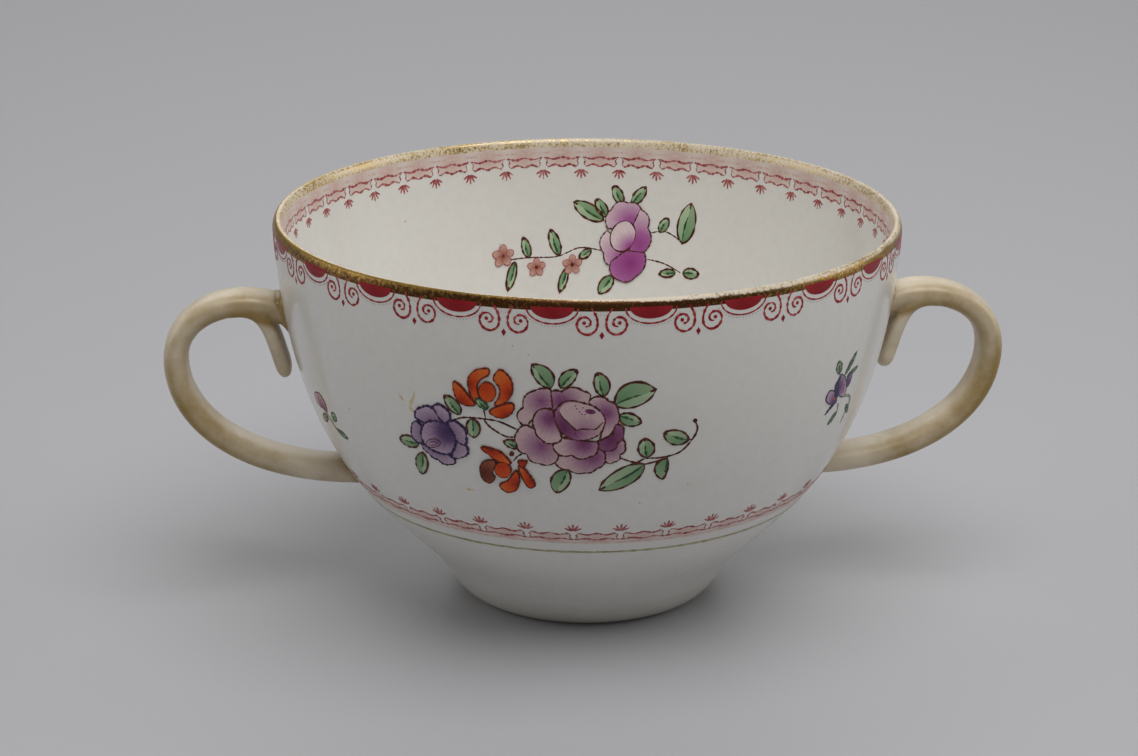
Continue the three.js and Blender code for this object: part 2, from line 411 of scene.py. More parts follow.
class Painting:
    """Gathers painted shapes laid on one stretch of wall, then makes one mesh of them."""

    pulse = 2.1  # radians of a line's slow swelling from one point to the next
    dry_width = 0.45  # share of a line's width that is left where the brush runs dry
    end_points = 3  # points over which an open end thins

    def __init__(self, wall, turn, height, seed, upright=1):
        self.wall = wall
        self.turn = turn
        self.arc = wall.arc_at(height)
        self.upright = upright  # -1 turns the design upside down
        self.hand = random.Random(seed)
        self.points, self.faces, self.kinds, self.tones, self.strokes = [], [], [], [], []
        self.layer = 0

    def on_wall(self, flat, lift):
        """Flat places (right, up) in millimetres, laid on the wall and lifted square to it."""
        flat = flat * self.upright
        radius, height, out, up = self.wall.at(self.arc + flat[:, 1] * MM)
        turn = self.turn + self.wall.facing * flat[:, 0] * MM / radius
        radius, height = radius + out * lift, height + up * lift
        return np.column_stack((radius * np.sin(turn), -radius * np.cos(turn), height))

    def next_layer(self):
        self.layer += 1

    def shell(self, flat, triangles, kind, tones, strokes, raised=0.0):
        """A closed thin solid over flat triangles: painted top, sunk underside and the edge between."""
        flat = np.array(flat, float)
        first, count = len(self.points), len(flat)
        for lift in (FIRST_LIFT + LAYER * self.layer + raised, -SUNK):
            self.points += self.on_wall(flat, lift).tolist()
            self.tones += list(tones)
            self.strokes += list(strokes)
        under = first + count
        edges = set()
        for a, b, c in triangles:
            self.faces += [(first + a, first + b, first + c), (under + c, under + b, under + a)]
            edges |= {(a, b), (b, c), (c, a)}
        for a, b in sorted(edges):
            if (b, a) not in edges:
                self.faces.append((first + b, first + a, under + a, under + b))
        self.kinds += [kind] * (len(self.faces) - len(self.kinds))

    def wash(self, outline, kind, base, reach, grain=GRAIN, darkest=0.0):
        """A filled shape, dark at its base and pale at its reach, with strokes away from the base."""
        flat, triangles = filled(outline, grain)
        away = flat - np.array(base)
        distance = np.hypot(*away.T)
        tones = darkest + (1 - darkest) * np.clip(distance / reach, 0, 1)
        around = np.arctan2(away[:, 1], away[:, 0])
        middle = np.arctan2(*np.mean(away, axis=0)[::-1])
        around = (around - middle + math.pi) % (2 * math.pi) - math.pi
        self.shell(flat, triangles, kind, tones, np.column_stack((around * reach, distance)).tolist())

    def line(self, path, kind, width=0.28, closed=False, taper=0.35, wobble=0.4):
        """A drawn line of uneven, here and there starved width along flat points, with thin open ends."""
        points = flat_array(path)
        count = len(points)
        before, after = np.roll(points, 1, axis=0), np.roll(points, -1, axis=0)
        if not closed:
            before[0], after[-1] = points[0], points[-1]
        along = unit_rows(after - before)
        side = np.column_stack((-along[:, 1], along[:, 0]))
        beat = self.hand.uniform(0, 6)
        half = np.empty(count)
        for i in range(count):
            uneven = 0.5 * math.sin(beat + self.pulse * i) + self.hand.uniform(-0.6, 0.6)
            half[i] = width / 2 * (1 + wobble * uneven)
            if self.hand.random() < wobble / 4:
                half[i] *= self.dry_width
        if not closed:
            ends = np.minimum(np.arange(count), np.arange(count)[::-1]) / self.end_points
            half *= taper + (1 - taper) * np.clip(ends, 0, 1)
        flat = np.empty((2 * count, 2))
        flat[0::2] = points + side * half[:, None]
        flat[1::2] = points - side * half[:, None]
        triangles = []
        for i in range(count if closed else count - 1):
            a, b = 2 * i, 2 * ((i + 1) % count)
            triangles += [(a, a + 1, b + 1), (a, b + 1, b)]
        tones = np.repeat([self.hand.uniform(0, 0.8) for _ in range(count)], 2)
        self.shell(flat, triangles, kind, tones, flat.tolist(), raised=LAYER / 2)

    def dot(self, x, y, radius, kind, sides=6, tone=None):
        flat = flat_array(oval(x, y, radius, radius, self.hand.uniform(0, 60), sides))
        triangles = [(0, i, i + 1) for i in range(1, sides - 1)]
        tone = self.hand.uniform(0, 0.6) if tone is None else tone
        self.shell(flat, triangles, kind, [tone] * sides, flat.tolist(), raised=LAYER / 2)

    def petal(self, outline, kind, line_kind, base, reach, width=0.26, darkest=0.0):
        """A washed shape with a drawn outline, over everything painted before it."""
        self.next_layer()
        self.wash(outline, kind, base, reach, darkest=darkest)
        self.line(outline, line_kind, width, closed=True, wobble=0.55)

    def leaf(self, base, tip, left, right, kind="leaf_green", line="outline_brown"):
        """A leaf with one half shaded, a drawn edge, a short vein and a dark touch on its tip."""
        base, tip = Vector(base), Vector(tip)
        outline = leaf_outline(base, tip, left, right)
        reach = (tip - base).length
        self.wash(outline, kind, base, reach * 1.1, darkest=0.3)
        self.next_layer()
        rib = [base.lerp(tip, 0.9 - 0.1 * i) for i in range(9)]
        shaded = outline[LEAF_STEPS:] + rib[::-1] if left > right else outline[: LEAF_STEPS + 1] + rib
        self.wash(shaded, kind, base, reach * 2.2)
        self.line(outline, line, 0.33, closed=True, wobble=0.55)
        bend = base.lerp(tip, 0.4) + Vector((base.y - tip.y, tip.x - base.x)) * 0.06
        vein = (base, bend, base.lerp(tip, 0.66))
        self.line(bezier_line(vein, 8), "vein_green", 0.4)
        touch = [tip.lerp(base, 0.14 - 0.05 * i) for i in range(4)]
        self.line(touch, line, 0.46, taper=0.5)

    def round_the_cup(self, repeats):
        """Turns the painting on to each repeat of a border in its turn, then back to the first."""
        start = self.turn
        for k in range(repeats):
            self.turn = start + 2 * math.pi / repeats * k
            yield
        self.turn = start

    def finish(self, name, materials):
        """Makes the mesh, with its tone and stroke layers, in the part's frame."""
        piece = mesh_piece(name, self.points, self.faces)
        mesh = piece.data
        used = sorted(set(self.kinds))
        for kind in used:
            mesh.materials.append(materials[kind])
        mesh.polygons.foreach_set("material_index", [used.index(kind) for kind in self.kinds])
        add_layer(piece, "tone", self.tones)
        corners = np.empty(len(mesh.loops), np.int32)
        mesh.loops.foreach_get("vertex_index", corners)
        strokes = np.array(self.strokes, np.float32)[corners]
        mesh.uv_layers.new(name="stroke").data.foreach_set("uv", strokes.ravel())
        return ride(piece, "enamel")


# Pieces


def ride(piece, slot, *nodes):
    """Fixes a finished piece to the part and hides the solids it stands for; slot is not used."""
    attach(piece, BODY)
    if nodes:
        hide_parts(*nodes)
    return piece


def deselect():
    if bpy.context.object and bpy.context.object.mode != "OBJECT":
        bpy.ops.object.mode_set(mode="OBJECT")
    bpy.ops.object.select_all(action="DESELECT")


def select_only(*pieces):
    """Selects pieces alone and makes the first the active one."""
    deselect()
    for piece in pieces:
        piece.select_set(True)
    bpy.context.view_layer.objects.active = pieces[0]


def edit_all():
    """Opens the active piece for editing, with all of it selected."""
    bpy.ops.object.mode_set(mode="EDIT")
    bpy.ops.mesh.select_all(action="SELECT")


def close_smooth(sharp_degrees):
    """Turns the selected faces outwards, ends editing and smooths edges that aren't as sharp as this."""
    bpy.ops.mesh.normals_make_consistent(inside=False)
    bpy.ops.object.mode_set(mode="OBJECT")
    bpy.ops.object.shade_smooth_by_angle(angle=math.radians(sharp_degrees))


def mesh_piece(name, points, faces):
    mesh = bpy.data.meshes.new(name)
    mesh.from_pydata(points, [], faces)
    piece = bpy.data.objects.new(name, mesh)
    bpy.context.collection.objects.link(piece)
    return piece


def drawn_curve(points, closed=False):
    """A curve drawn straight from point to point."""
    deselect()
    bpy.ops.curve.primitive_bezier_curve_add()
    drawn = bpy.context.object
    drawn.data.splines.clear()
    spline = drawn.data.splines.new("POLY")
    spline.points.add(len(points) - 1)
    for place, point in zip(spline.points, points):
        place.co = (*point, 1)
    spline.use_cyclic_u = closed
    return drawn


def turned(name, profile, segments=288):
    """A closed piece turned about Z: its profile is drawn, made a mesh, spun, merged and smoothed."""
    drawn_curve([(radius, 0, height) for radius, height in profile])
    bpy.ops.object.convert(target="MESH")
    piece = bpy.context.object
    piece.name = piece.data.name = name
    edit_all()
    bpy.ops.mesh.spin(steps=segments, angle=2 * math.pi, center=(0, 0, 0), axis=(0, 0, 1))
    bpy.ops.mesh.select_all(action="SELECT")
    bpy.ops.mesh.remove_doubles(threshold=1e-6)
    close_smooth(sharp_degrees=40)
    return piece


def add_layer(piece, name, values):
    layer = piece.data.attributes.new(name, "FLOAT", "POINT")
    layer.data.foreach_set("value", np.asarray(values, np.float32))


def vertices_of(piece):
    places = np.empty(3 * len(piece.data.vertices))
    piece.data.vertices.foreach_get("co", places)
    return places.reshape(-1, 3)


def half_turned_copy(piece, name):
    """A copy with its own mesh, turned half round the cup's axis."""
    select_only(piece)
    bpy.ops.object.duplicate()
    copy = bpy.context.object
    copy.name = copy.data.name = name
    edit_all()
    bpy.ops.transform.rotate(value=math.pi, orient_axis="Z", center_override=(0, 0, 0))
    bpy.ops.object.mode_set(mode="OBJECT")
    return copy


# Handle paths

ROOT_RUN = 0.004  # how far the strap runs on into the wall
LOOP_STEPS = 90
SPUR_STEPS = 40
STRAP_SQUARENESS = 0.72


def handle_knots(handle, wall):
    """Corners of the two curves of the loop, as (distance from the axis, height)."""
    upper, lower = (Vector((wall.radius_at(root), root)) for root in (handle.upper_root, handle.lower_root))
    crest, tail = (Vector((math.cos(a), math.sin(a))) for a in (handle.crest_angle, handle.tail_angle))
    half = (handle.thickness_top + handle.thickness_low) / 4
    outermost = Vector((handle.outermost - half, handle.middle))
    above, below = Vector((0, handle.shoulder_pull)), Vector((0, handle.belly_pull))
    shoulder = (upper, upper + crest * handle.crest_pull, outermost + above, outermost)
    belly = (outermost, outermost - below, lower + tail * handle.tail_pull, lower)
    return shoulder, belly


def loop_line(handle, wall):
    """Middle line of a strap from inside the wall round the loop and back into it."""
    shoulder, belly = handle_knots(handle, wall)
    line = bezier_line(shoulder, LOOP_STEPS)[:-1] + bezier_line(belly, LOOP_STEPS)
    start = (shoulder[0] - shoulder[1]).normalized()
    end = (belly[3] - belly[2]).normalized()
    return [line[0] + start * ROOT_RUN, *line, line[-1] + end * ROOT_RUN]


def spur_line(handle, wall, line):
    """Middle line of the spur, from the underside of the strap down along the wall."""
    travelled = 0.0
    for a, b in zip(line[1:], line[2:]):
        travelled += (b - a).length
        if travelled > handle.spur_spring:
            break
    along = (b - a).normalized()
    inset = (handle.thickness_top - handle.spur_thickness) / 2
    spring = b + Vector((along.y, -along.x)) * inset
    height = handle.spur_tip
    tip = Vector((wall.radius_at(height) + handle.spur_gap + handle.spur_thickness / 2, height))
    above = Vector((wall.radius_at(height + MM) - wall.radius_at(height), MM)).normalized()
    corners = (spring, spring - along * handle.spur_bend, tip + above * handle.spur_fall, tip)
    return bezier_line(corners, SPUR_STEPS)


def strap_mesh(line, radii, thickness, width, sides=40):
    """A closed strap of rounded rectangular section along a line in the XZ plane, scaled at each point."""
    edge = [rounded(2 * math.pi * (i + 0.5) / sides, STRAP_SQUARENESS) for i in range(sides)]
    section = drawn_curve([(x * width / 2, y * thickness / 2, 0) for x, y in edge], closed=True)
    drawn = drawn_curve([(x, 0, z) for x, z in line])
    drawn.data.dimensions = "3D"
    drawn.data.twist_mode = "MINIMUM"
    for place, radius in zip(drawn.data.splines[0].points, radii):
        place.radius = radius
    drawn.data.bevel_mode = "OBJECT"
    drawn.data.bevel_object = section
    drawn.data.use_fill_caps = True
    bpy.ops.object.convert(target="MESH")
    bpy.data.objects.remove(section)
    return bpy.context.object


# Node helpers


def add(tree, kind, inputs=(), **settings):
    """Adds a node, sets its properties, and fills its sockets with values or links."""
    made = tree.nodes.new(kind)
    for name, value in settings.items():
        setattr(made, name, value)
    for key, value in dict(inputs).items():
        if isinstance(value, bpy.types.NodeSocket):
            tree.links.new(value, made.inputs[key])
        else:
            made.inputs[key].default_value = value
    return made


def maths(tree, operation, a, b=0.0, c=0.0):
    return add(tree, "ShaderNodeMath", {0: a, 1: b, 2: c}, operation=operation).outputs[0]


def ramp(tree, value, low, high, to_low=0.0, to_high=1.0):
    """A value spread from one range to another, kept inside it."""
    sockets = {"Value": value, "From Min": low, "From Max": high, "To Min": to_low, "To Max": to_high}
    return add(tree, "ShaderNodeMapRange", sockets, clamp=True).outputs[0]


def blend(tree, share, a, b):
    """A colour between two colours."""
    return add(tree, "ShaderNodeMix", {0: share, 6: a, 7: b}, data_type="RGBA").outputs[2]


def noise(tree, place, scale, detail=3.0, rough=0.55):
    sockets = {"Vector": place, "Scale": scale, "Detail": detail, "Roughness": rough}
    return add(tree, "ShaderNodeTexNoise", sockets).outputs[0]


def object_place(tree):
    return add(tree, "ShaderNodeTexCoord").outputs["Object"]


def rgba(value):
    return (*value, 1.0)


def effect_group(name, colours, values, outputs):
    """A shared shader effect: colour inputs, then value inputs, and outputs of which Color is a colour."""
    tree = bpy.data.node_groups.new(name, "ShaderNodeTree")
    for label in (*colours, *values):
        kind = "NodeSocketColor" if label in colours else "NodeSocketFloat"
        tree.interface.new_socket(label, in_out="INPUT", socket_type=kind)
    for label in outputs:
        kind = "NodeSocketColor" if label == "Color" else "NodeSocketFloat"
        tree.interface.new_socket(label, in_out="OUTPUT", socket_type=kind)
    made = add(tree, "NodeGroupOutput")
    return tree, add(tree, "NodeGroupInput").outputs, made.inputs


def effect(tree, name, inputs):
    """A shared effect placed in a material, with its values and links."""
    return add(tree, "ShaderNodeGroup", inputs, node_tree=bpy.data.node_groups[name]).outputs


def old_glaze_group():
    """Off-white glaze with faint stains, painted shade towards the table, sparse specks and a slightly uneven
    skin.
    """
    outputs = ("Color", "Roughness", "Height")
    tree, given, out = effect_group("Old glaze", ("Body", "Stain", "Speck"), (), outputs)
    place = object_place(tree)
    cloud = noise(tree, place, scale=38.0, detail=5.0)
    clouded = ramp(tree, cloud, 0.56, 0.84, to_high=0.28)
    height = add(tree, "ShaderNodeSeparateXYZ", {0: place}).outputs["Z"]
    # Painted shade: towards the table the glaze takes more of the stained colour, darker and yellower near
    # the bottom of the foot.
    stained_and_shaded_low = maths(tree, "ADD", clouded, ramp(tree, height, 0.0, 0.005, to_low=0.4, to_high=0.0))
    stained = blend(tree, stained_and_shaded_low, given["Body"], given["Stain"])
    mottle = noise(tree, place, scale=700.0, detail=2.0)
    mottled = blend(tree, ramp(tree, mottle, 0.35, 0.75, to_high=0.045), stained, given["Speck"])
    cells = add(tree, "ShaderNodeTexVoronoi", {"Vector": place, "Scale": 420.0}).outputs
    chosen = add(tree, "ShaderNodeSeparateColor", {0: cells["Color"]}).outputs[0]
    size = ramp(tree, chosen, 0.82, 1.0, to_high=0.075)
    specks = maths(tree, "MULTIPLY", maths(tree, "LESS_THAN", cells["Distance"], size), 0.55)
    tree.links.new(blend(tree, specks, mottled, given["Speck"]), out["Color"])
    tree.links.new(ramp(tree, cloud, 0.3, 0.8, to_low=0.12, to_high=0.2), out["Roughness"])
    tree.links.new(noise(tree, place, scale=260.0, detail=2.0), out["Height"])


def worn_gilding_group():
    """How much gilding is left where it is rubbed and pitted, and how bright it is, with painted sheen and
    painted glints.
    """
    values = ("Gilding", "Polish", "Patch", "Rub", "Pit", "Grain", "Soft")
    tree, given, out = effect_group("Worn gilding", (), values, ("Mask", "Glint"))
    place = object_place(tree)
    patch = maths(tree, "SUBTRACT", noise(tree, place, given["Patch"], detail=4.0), 0.5)
    pit = maths(tree, "SUBTRACT", noise(tree, place, given["Pit"], rough=0.7), 0.5)
    rubbed = maths(tree, "MULTIPLY_ADD", patch, given["Rub"], given["Gilding"])
    pitted = maths(tree, "MULTIPLY_ADD", pit, given["Grain"], rubbed)
    low = maths(tree, "SUBTRACT", 0.5, given["Soft"])
    high = maths(tree, "ADD", 0.5, given["Soft"])
    tree.links.new(ramp(tree, pitted, low, high), out["Mask"])
    # Painted glints: the pitting grain breaks the gold into bright specks, over the polish layer.
    spark = maths(tree, "MULTIPLY_ADD", pit, 1.5, given["Polish"])
    tree.links.new(ramp(tree, spark, 0.15, 0.85), out["Glint"])


def brushed_enamel_group():
    """Painted colour that follows a tone from dark through middle to pale, with streaks along the stroke."""
    tones = ("Dark", "Middle", "Pale")
    tree, given, out = effect_group("Brushed enamel", tones, ("Streaks",), ("Color", "Height"))
    tone = add(tree, "ShaderNodeAttribute", attribute_name="tone").outputs["Fac"]
    stroke = add(tree, "ShaderNodeUVMap", uv_map="stroke").outputs["UV"]
    stretched = add(tree, "ShaderNodeMapping", {"Vector": stroke, "Scale": (2.6, 0.55, 1.0)}).outputs[0]
    streak = noise(tree, stretched, scale=1.0, detail=4.0, rough=0.6)
    spread = maths(tree, "MULTIPLY", maths(tree, "SUBTRACT", streak, 0.5), given["Streaks"])
    toned = maths(tree, "ADD", tone, spread)
    darker = blend(tree, ramp(tree, toned, 0.0, 0.45), given["Dark"], given["Middle"])
    tree.links.new(blend(tree, ramp(tree, toned, 0.4, 1.0), darker, given["Pale"]), out["Color"])
    tree.links.new(streak, out["Height"])


def material(name, roughness=0.3):
    made = bpy.data.materials.new(name)
    made.use_nodes = True
    shader = made.node_tree.nodes["Principled BSDF"].inputs
    shader["Roughness"].default_value = roughness
    return made, made.node_tree, shader


def bump(tree, shader, height, strength, distance):
    made = add(tree, "ShaderNodeBump", {"Height": height, "Strength": strength, "Distance": distance})
    tree.links.new(made.outputs[0], shader["Normal"])


def old_glaze(tree, body, stain_and_low_shade, speck):
    return effect(tree, "Old glaze", {"Body": rgba(body), "Stain": rgba(stain_and_low_shade), "Speck": rgba(speck)})


def glaze_material(colours):
    _, tree, shader = material("Old off-white glaze")
    glaze = old_glaze(tree, colours.glaze, colours.stain_and_low_shade, colours.speck)
    tree.links.new(glaze["Color"], shader["Base Color"])
    tree.links.new(glaze["Roughness"], shader["Roughness"])
    bump(tree, shader, glaze["Height"], strength=0.06, distance=0.0003)


LIP_RUBBING = {"Patch": 180.0, "Rub": 0.6, "Pit": 2000.0, "Grain": 1.25, "Soft": 0.14}
HANDLE_RUBBING = {"Patch": 65.0, "Rub": 1.5, "Pit": 700.0, "Grain": 0.3, "Soft": 0.36}


def gilding_material(name, colours, wear, dark, bright, metal, rough):
    """Gilding over cream glaze, kept by the piece's gilding layer and bright by its polish layer, which
    paints reflection and highlight.
    """
    _, tree, shader = material(name)
    layers = {
        label: add(tree, "ShaderNodeAttribute", attribute_name=label.lower()).outputs["Fac"]
        for label in ("Gilding", "Polish")
    }
    worn = effect(tree, "Worn gilding", {**layers, **wear})
    glaze = old_glaze(tree, colours.cream, colours.stain_and_low_shade, colours.ochre)
    mask, glint = worn["Mask"], worn["Glint"]
    gold = blend(tree, glint, rgba(dark), rgba(bright))
    tree.links.new(blend(tree, mask, glaze["Color"], gold), shader["Base Color"])
    tree.links.new(ramp(tree, mask, 0.0, 1.0, to_high=metal), shader["Metallic"])
    tree.links.new(ramp(tree, glint, 0.0, 1.0, to_low=rough, to_high=rough * 0.7), shader["Roughness"])
    bump(tree, shader, mask, strength=0.1, distance=0.00005)


# Enamels by kind: dark, middle and pale colour, and how much the brush streaks show
ENAMELS = {
    "rose_lilac": ((100, 36, 80), (150, 92, 132), (212, 182, 183), 0.5),
    "rose_magenta": ((144, 50, 124), (174, 104, 160), (224, 204, 206), 0.4),
    "violet_blue": ((56, 32, 74), (102, 74, 120), (188, 162, 182), 0.7),
    "iron_red": ((124, 28, 8), (204, 64, 10), (222, 108, 40), 0.8),
    "iron_brown": ((86, 34, 24), (122, 56, 36), (164, 92, 62), 0.9),
    "leaf_green": ((100, 140, 97), (152, 180, 140), (186, 205, 170), 0.6),
    "leaf_grey": ((118, 130, 104), (144, 152, 126), (178, 182, 160), 0.5),
    "vein_green": ((46, 76, 48), (60, 92, 58), (88, 120, 84), 0.3),
    "outline_brown": ((62, 24, 18), (86, 38, 28), (122, 68, 54), 0.3),
    "outline_red": ((84, 24, 10), (110, 34, 14), (146, 62, 30), 0.3),
    "outline_violet": ((40, 26, 62), (56, 40, 80), (86, 68, 110), 0.3),
    "border_crimson": ((138, 20, 28), (162, 40, 44), (204, 112, 106), 0.9),
    "border_rose": ((144, 58, 62), (174, 92, 92), (204, 150, 142), 0.6),
    "bloom_rose": ((150, 84, 76), (176, 126, 112), (206, 172, 156), 0.6),
    "wash_pink": ((210, 176, 168), (218, 194, 185), (226, 212, 204), 0.6),
    "band_olive": ((150, 142, 102), (174, 166, 128), (200, 194, 164), 0.6),
    "worn_yellow": ((212, 184, 122), (220, 198, 148), (226, 214, 184), 0.8),
}


def enamel_name(kind):
    return "Enamel " + kind.replace("_", " ")


def enamel_material(kind):
    *tints, streaks = ENAMELS[kind]
    _, tree, shader = material(enamel_name(kind), roughness=0.28)
    shader["Specular IOR Level"].default_value = 0.2
    tones = zip(("Dark", "Middle", "Pale"), tints)
    inputs = {label: rgba(linear(byte) for byte in tint) for label, tint in tones}
    paint = effect(tree, "Brushed enamel", {**inputs, "Streaks": streaks})
    tree.links.new(paint["Color"], shader["Base Color"])
    bump(tree, shader, paint["Height"], strength=0.1, distance=0.00004)


def finishes(context):
    """Every finish of the cup by a short name, built at the first call."""
    if "Old glaze" not in bpy.data.node_groups:
        colours = context.scene.cup_colours
        old_glaze_group()
        worn_gilding_group()
        brushed_enamel_group()
        glaze_material(colours)
        lip = {"dark": colours.bronze, "bright": colours.gilt, "metal": 0.8, "rough": 0.38}
        gilding_material("Worn lip gilding", colours, LIP_RUBBING, **lip)
        handle = {"dark": colours.ochre, "bright": colours.ochre, "metal": 0.1, "rough": 0.36}
        gilding_material("Rubbed handle gilding", colours, HANDLE_RUBBING, **handle)
        for kind in ENAMELS:
            enamel_material(kind)
    names = {kind: enamel_name(kind) for kind in ENAMELS}
    names.update(glaze="Old off-white glaze", lip="Worn lip gilding", handle="Rubbed handle gilding")
    return {short: bpy.data.materials[name] for short, name in names.items()}


def finish(context, piece, look, slot, *nodes):
    """Gives a piece its look, and fixes it to the part in place of solids."""
    piece.data.materials.append(finishes(context)[look])
    ride(piece, slot, *nodes)


# Painted designs, in millimetres right and up from the middle of each design

# The rose of the front spray, back to front: dark middle, reach, darkest tone and lobes (right, up, bulge)
ROSE_PETALS = (
    ((-1.4, 4.2), 4.0, 0.15, (-3.4, 3.9, 0.1), (-3.2, 5.7, 0.15), (-1.4, 5.9, 0.22), (1.8, 6.0, 0.15),
     (2.8, 5.4), (2.5, 3.4), (-2.8, 2.9)),
    ((-4.3, 4.2), 3.6, 0.3, (-3.0, 6.2, 0.12), (-5.3, 5.9, 0.22), (-7.0, 3.0, 0.3), (-7.2, 0.1, 0.1),
     (-6.5, 0.0), (-5.4, 1.6), (-3.8, 3.0), (-2.7, 3.2)),
    ((5.0, 2.4), 3.6, 0.2, (2.5, 4.2, 0.15), (3.9, 5.2, 0.15), (5.4, 4.4, 0.2), (6.8, 2.6, 0.15),
     (6.4, 0.2), (5.6, -1.3), (4.1, -2.1), (4.9, 1.0), (3.7, 3.3)),
    ((5.6, -3.4), 3.4, 0.2, (7.3, -2.1, 0.2), (7.8, -3.3, 0.25), (7.0, -4.8, 0.3), (6.2, -6.1, 0.25),
     (4.9, -6.0), (4.5, -4.0), (5.6, -3.8)),
    ((5.6, -2.0), 7.0, 0.0, (6.4, 0.5, 0.3), (7.6, -1.0, 0.2), (6.7, -2.7, 0.25), (5.2, -4.1, 0.15),
     (3.9, -3.6), (3.8, -2.4), (6.0, -1.2)),
    ((3.0, -5.0), 5.0, 0.2, (-2.2, -5.2, 0.1), (-2.4, -6.4, 0.18), (-0.5, -7.5, 0.16), (1.8, -8.1, 0.16),
     (3.6, -7.3, 0.2), (4.9, -5.4, 0.2), (4.1, -3.8), (2.2, -5.0), (0.1, -4.6)),
    ((-4.4, -3.4), 4.4, 0.3, (-6.7, 0.1, 0.12), (-8.0, -1.2, 0.15), (-8.1, -3.4, 0.25), (-6.6, -5.0, 0.22),
     (-4.8, -6.6, 0.18), (-2.4, -6.2, 0.15), (-2.1, -4.4), (-2.7, -3.0), (-4.4, -2.2), (-5.2, -0.6)),
    ((1.8, -2.8), 4.0, 0.1, (-2.7, -3.0, 0.12), (-2.2, -4.5, 0.18), (0.0, -4.8, 0.22), (2.6, -5.1, 0.2),
     (3.8, -3.8, 0.1), (3.8, -2.5), (1.6, -2.3), (-1.3, -1.8)),
    ((-3.0, 1.4), 3.8, 0.1, (-3.7, 3.1, 0.18), (-5.5, 1.5, 0.12), (-5.3, -0.6, 0.15), (-4.4, -2.2, 0.2),
     (-2.7, -2.8, 0.2), (-1.4, -1.8), (-2.3, 1.0), (-2.7, 2.8)),
)
ROSE_BUD = (
    (-2.5, 2.0), (-1.6, 3.8), (-0.2, 4.5), (1.6, 4.2), (3.4, 3.5), (4.7, 2.0), (4.8, 0.5), (3.7, -1.4),
    (1.0, -2.2), (-1.5, -0.8),
)
ROSE_HEART = (
    (-1.7, 2.6), (-1.3, 3.6), (-0.1, 4.2), (1.6, 4.0), (3.2, 3.3), (4.5, 1.9), (4.6, 1.0), (3.5, -0.2),
    (2.4, -0.2), (1.3, -0.2), (0.7, -0.4), (-0.3, 0.7), (-1.2, 1.6),
)
ROSE_SPOTS = ((0.6, 3.7), (0.8, 3.2), (1.2, 2.7), (1.5, 2.3), (1.7, 3.4), (2.0, 2.3))

# The violet of the front spray, in lobes round its heart
VIOLET_PETALS = (
    ((-23.7, -5.8, 0.15), (-22.4, -7.4, 0.15), (-20.8, -8.2, 0.2), (-18.8, -8.7, 0.3), (-18.0, -7.6),
     (-19.4, -6.6)),
    ((-24.5, -1.2, 0.22), (-23.2, 0.8, 0.18), (-21.4, 1.0, 0.18), (-19.8, -0.9), (-22.6, -2.0)),
    ((-21.3, 1.3, 0.25), (-19.4, 1.5, 0.2), (-18.5, -0.4, 0.1), (-19.4, -1.2), (-20.2, -0.6)),
    ((-24.2, -1.8, 0.2), (-25.3, -3.4, 0.2), (-24.4, -5.7, 0.1), (-23.4, -5.4), (-23.2, -2.8)),
    ((-18.4, -7.2, 0.15), (-16.7, -6.9, 0.25), (-15.9, -4.9, 0.1), (-17.4, -4.2), (-18.2, -5.6)),
    ((-18.9, -0.9, 0.2), (-16.7, -1.2, 0.2), (-16.0, -3.2, 0.2), (-16.3, -4.6, 0.1), (-17.8, -3.6)),
)
VIOLET_MIDDLE = (-20.6, -3.8)
VIOLET_HEART = (
    (-23.6, -3.9), (-22.9, -2.0), (-21.2, -1.1), (-19.0, -1.5), (-17.8, -3.3), (-17.9, -5.4), (-19.1, -6.8),
    (-21.6, -6.6), (-23.1, -5.6),
)

# Petals of the iron-red flowers: dark base and smooth outline
UPPER_RED = (
    ((-16.4, 2.8), (-17.7, 6.1), (-16.4, 5.4), (-15.1, 3.8), (-14.3, 2.8), (-15.0, 2.5), (-16.4, 2.6),
     (-17.5, 3.9)),
    ((-15.4, 6.0), (-15.3, 7.0), (-14.2, 8.4), (-12.3, 8.9), (-12.1, 8.0), (-13.3, 7.1), (-14.0, 5.8),
     (-13.7, 4.1), (-14.4, 3.4), (-15.2, 5.0)),
    ((-8.6, 5.2), (-10.5, 8.9), (-9.3, 8.2), (-8.6, 6.8), (-8.7, 5.1), (-9.8, 3.6), (-11.3, 3.1),
     (-10.6, 4.5), (-10.5, 6.0), (-11.4, 7.4)),
    ((-9.4, 1.2), (-12.1, 1.8), (-11.2, 2.7), (-9.9, 3.3), (-8.7, 3.6), (-8.4, 2.7), (-9.3, 1.4),
     (-10.7, 1.0)),
)
LOWER_RED = (
    ((-12.0, -4.6), (-13.6, -4.6), (-12.0, -4.6), (-10.4, -5.2), (-9.1, -6.9), (-10.3, -7.0),
     (-11.8, -6.2)),
    ((-8.0, -10.6), (-10.9, -11.4), (-9.6, -10.3), (-8.8, -8.9), (-8.2, -8.3), (-7.8, -10.0), (-8.4, -12.0),
     (-9.8, -12.6)),
    ((-5.6, -9.8), (-7.9, -7.3), (-7.1, -7.7), (-5.6, -10.2), (-5.8, -11.2), (-6.6, -11.1), (-7.4, -9.4)),
    ((-7.0, -6.2), (-7.9, -6.4), (-6.7, -6.3), (-6.8, -7.0), (-7.5, -7.4)),
)
BROWN_PETAL = (
    (-13.9, -8.4), (-13.2, -7.1), (-11.6, -6.7), (-11.5, -7.7), (-12.0, -9.2), (-11.6, -10.1),
    (-12.5, -11.2), (-13.6, -10.4),
)

